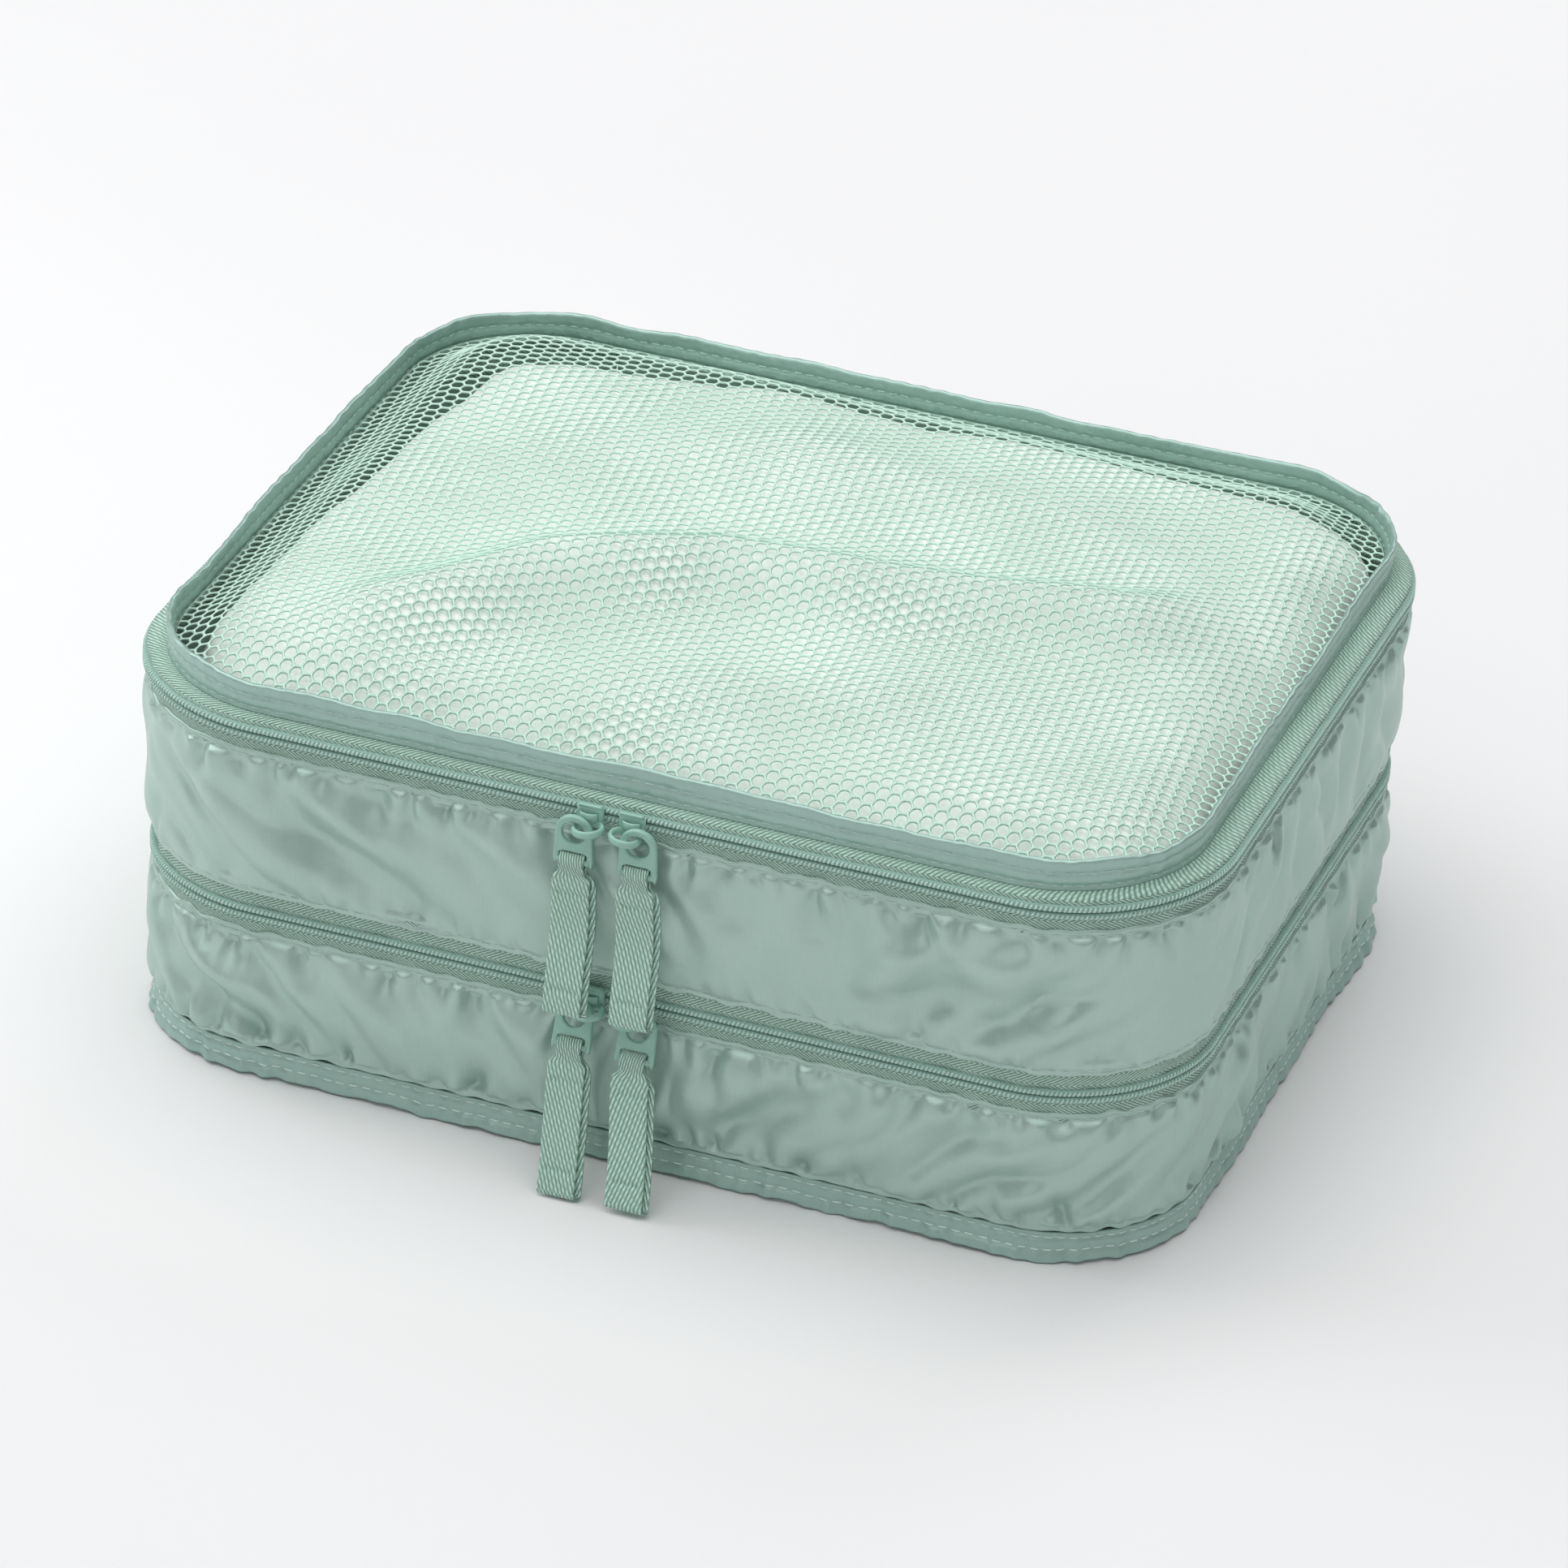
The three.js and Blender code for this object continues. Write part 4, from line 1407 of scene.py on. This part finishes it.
def tab_parts():
    """Pull tab. Local origin in the middle of its hole."""
    window_top = -BAR_DROP + 2.3
    right_half = [
        (LEG_INNER - 0.6, window_top),
        (LEG_INNER, window_top - 0.4),
        (LEG_INNER, -BAR_DROP),
        (TAB_HALF - 0.25, -BAR_DROP - LEG_DROP),
        (TAB_HALF, -BAR_DROP),
    ]
    outer = arc(0, 0, HEAD_RADIUS, 0, 180, 25)
    outer += [(-x, z) for x, z in right_half[::-1]] + right_half
    hole = arc(0, 0, HOLE_RADIUS, 0, 360, 33)[:-1]
    head, faces = plate([outer, hole], 1.5, 0.45)
    head[:, 1] += 0.012 * head[:, 0] ** 2
    across, up = (0, BAR_RADIUS, 0), (0, 0, BAR_RADIUS)
    bar = [hoop((x, 0, -BAR_DROP), across, up, 12) for x in np.linspace(-4.0, 4.0, 5)]
    return [(head, faces), loft(bar)]


WEBBING_LENGTH, WEBBING_HALF, WEBBING_THICK = 35.7, 4.6, 0.5
NECK_HALF, NECK_END = 3.0, -3.0  # the webbing is gathered between the tab's legs
LAYER, BAR_FOLD = 0.72, 1.5  # middle of each layer from the middle plane, hanging and at the bar


def webbing_path(length):
    """The webbing seen from the side: up the front, round the bar, down the back, and the fold."""
    long_z = np.linspace(NECK_END, -length + LAYER, 92)
    shares = np.linspace(0.1, 0.9, 7)
    neck = [(LAYER + (BAR_FOLD - LAYER) * smooth_step(1 - t), NECK_END * t) for t in shares]
    back = neck + [(LAYER, z) for z in long_z]
    front = [(-y, z) for y, z in back[::-1]]
    over = np.linspace(0, math.pi, 15)
    over = [(-BAR_FOLD * math.cos(a), BAR_FOLD * math.sin(a)) for a in over]
    foot = np.linspace(0, math.pi, 9)[1:-1]
    foot = [(LAYER * math.cos(a), -length + LAYER - LAYER * math.sin(a)) for a in foot]
    return np.array(front + over + back + foot)


def webbing_mesh(name, seed, look, length, kick, sway):
    """Webbing folded double round the tab's bar. Local origin in the middle of the bar."""
    bend, phase = np.random.default_rng(seed).uniform(-0.35, 0.35, 2)
    path = webbing_path(length)
    y, z = path.T
    ahead = unit(np.roll(path, -1, 0) - np.roll(path, 1, 0))
    out = np.stack([-ahead[:, 1], ahead[:, 0]])
    steps = np.linalg.norm(np.diff(np.vstack([path, path[:1]]), axis=0), axis=1)
    reach = np.concatenate([[0], np.cumsum(steps)])
    half = NECK_HALF + (WEBBING_HALF - NECK_HALF) * smooth_step((-z - 2.2) / 2.6)
    notch = 0.07 * np.sin(TAU * reach[:-1] / TWILL_PITCH)
    shift = np.where(y > 0, 1.0, -0.15) * smooth_step((-z - 3) / 4)
    across = np.concatenate([[-1, -0.98, -0.93], np.linspace(-0.85, 0.85, 18), [0.93, 0.98, 1]])
    edge = np.concatenate([[0.35, 0.8, 1], np.ones(18), [1, 0.8, 0.35]])
    rings, coordinates = [], []
    for face, order in ((1, slice(None)), (-1, slice(None, None, -1))):
        for a, full in zip(across[order], edge[order]):
            lift = face * full * WEBBING_THICK + np.zeros_like(z)
            if face > 0 and abs(a) < 0.75:
                threads = 0.75 + 0.25 * np.cos(TAU * a * WEBBING_HALF / 0.9)
                for row in (-8.4, 6.0 - length):
                    lift -= 0.6 * threads * bell(z - row, 0.6)
            place = (a * (half + notch) + shift, y + out[0] * lift, z + out[1] * lift)
            rings.append(np.stack(place, -1))
            coordinates.append(a * WEBBING_HALF + (0 if face > 0 else 20))
    section = np.stack(rings)
    twist = smooth_step(-section[..., 2] / length)
    section[..., 0] += (bend + sway) * twist
    section[..., 1] += 0.25 * np.sin(section[..., 2] / 6 + phase * 8) * twist
    section[..., 1] -= kick * smooth_step((-section[..., 2] - 14) / 24)
    return strip_mesh(name, section, reach, np.array(coordinates + coordinates[:1]), look)


def place_local(piece, origin, lean):
    """Moves a piece made round its own origin to its place, leaning about X."""
    turn = Matrix.Translation(Vector(origin) * MM) @ Matrix.Rotation(lean, 4, "X")
    piece.data.transform(turn)


# How far each pull's tab leans out over what is behind it.
LEAN = {"lower": math.radians(-16.5), "upper": 0.0}
# Length of each webbing loop, and how far its foot stands off the front and to the right.
HANG = {
    "upper_left": (WEBBING_LENGTH + 2.2, 4.8, 0.8),
    "upper_right": (WEBBING_LENGTH + 1.6, 4.8, 1.2),
    "lower_left": (WEBBING_LENGTH, 0.4, 1.9),
    "lower_right": (WEBBING_LENGTH - 0.6, 0.6, 2.8),
}


def make_pull(level, hand, side):
    """Slider with its ring, tab and webbing, which hang from one another."""
    name = f"{level}_{hand}"
    line = zips[level][0]
    lean = LEAN[level]
    mirror = -side
    slider_x = box_mm(f"{name}_slider")[(side + 1) // 2][0] - side * SLIDER_LENGTH / 2
    centre = Vector((slider_x, -line.d / 2, line.z))
    hole = centre + Vector((mirror * LOOP_SHIFT + side * LOOP_HALF, -LOOP_OUT, -LOOP_DROP - 1.6))
    bar = hole + Matrix.Rotation(lean, 3, "X") @ Vector((0, 0, -BAR_DROP))

    slider = add_mesh(f"{name}_slider_metal", *merge(slider_parts(mirror)), "paint")
    place_local(slider, centre, 0)
    ride(slider, f"{name}_slider_body", "painted_pull", f"{name}_slider")
    tab = add_mesh(f"{name}_pull_tab_metal", *merge(tab_parts()), "paint")
    place_local(tab, hole, lean)
    ride(tab, f"{name}_tab_body", "painted_pull", f"{name}_pull_tab")
    look = "twill_right" if name == "lower_right" else "twill_left"
    seed = 60 + 7 * side + len(level)
    strap = webbing_mesh(f"{name}_pull_webbing_cloth", seed, look, *HANG[name])
    place_local(strap, bar, lean)
    ride(strap, f"{name}_webbing_body", "pull_webbing", f"{name}_pull_webbing")


for level in zips:
    make_pull(level, "left", -1)
    make_pull(level, "right", 1)


# ---------------------------------------------------------------- floor

FLOOR = 6000 * MM
floor_mesh = bpy.data.meshes.new("floor")
corners = [(-FLOOR, -FLOOR, 0), (FLOOR, -FLOOR, 0), (FLOOR, FLOOR, 0), (-FLOOR, FLOOR, 0)]
floor_mesh.from_pydata(corners, [], [(0, 1, 2, 3)])
floor_mesh.materials.append(LOOKS["floor"])
floor = bpy.data.objects.new("floor", floor_mesh)
bpy.context.scene.collection.objects.link(floor)
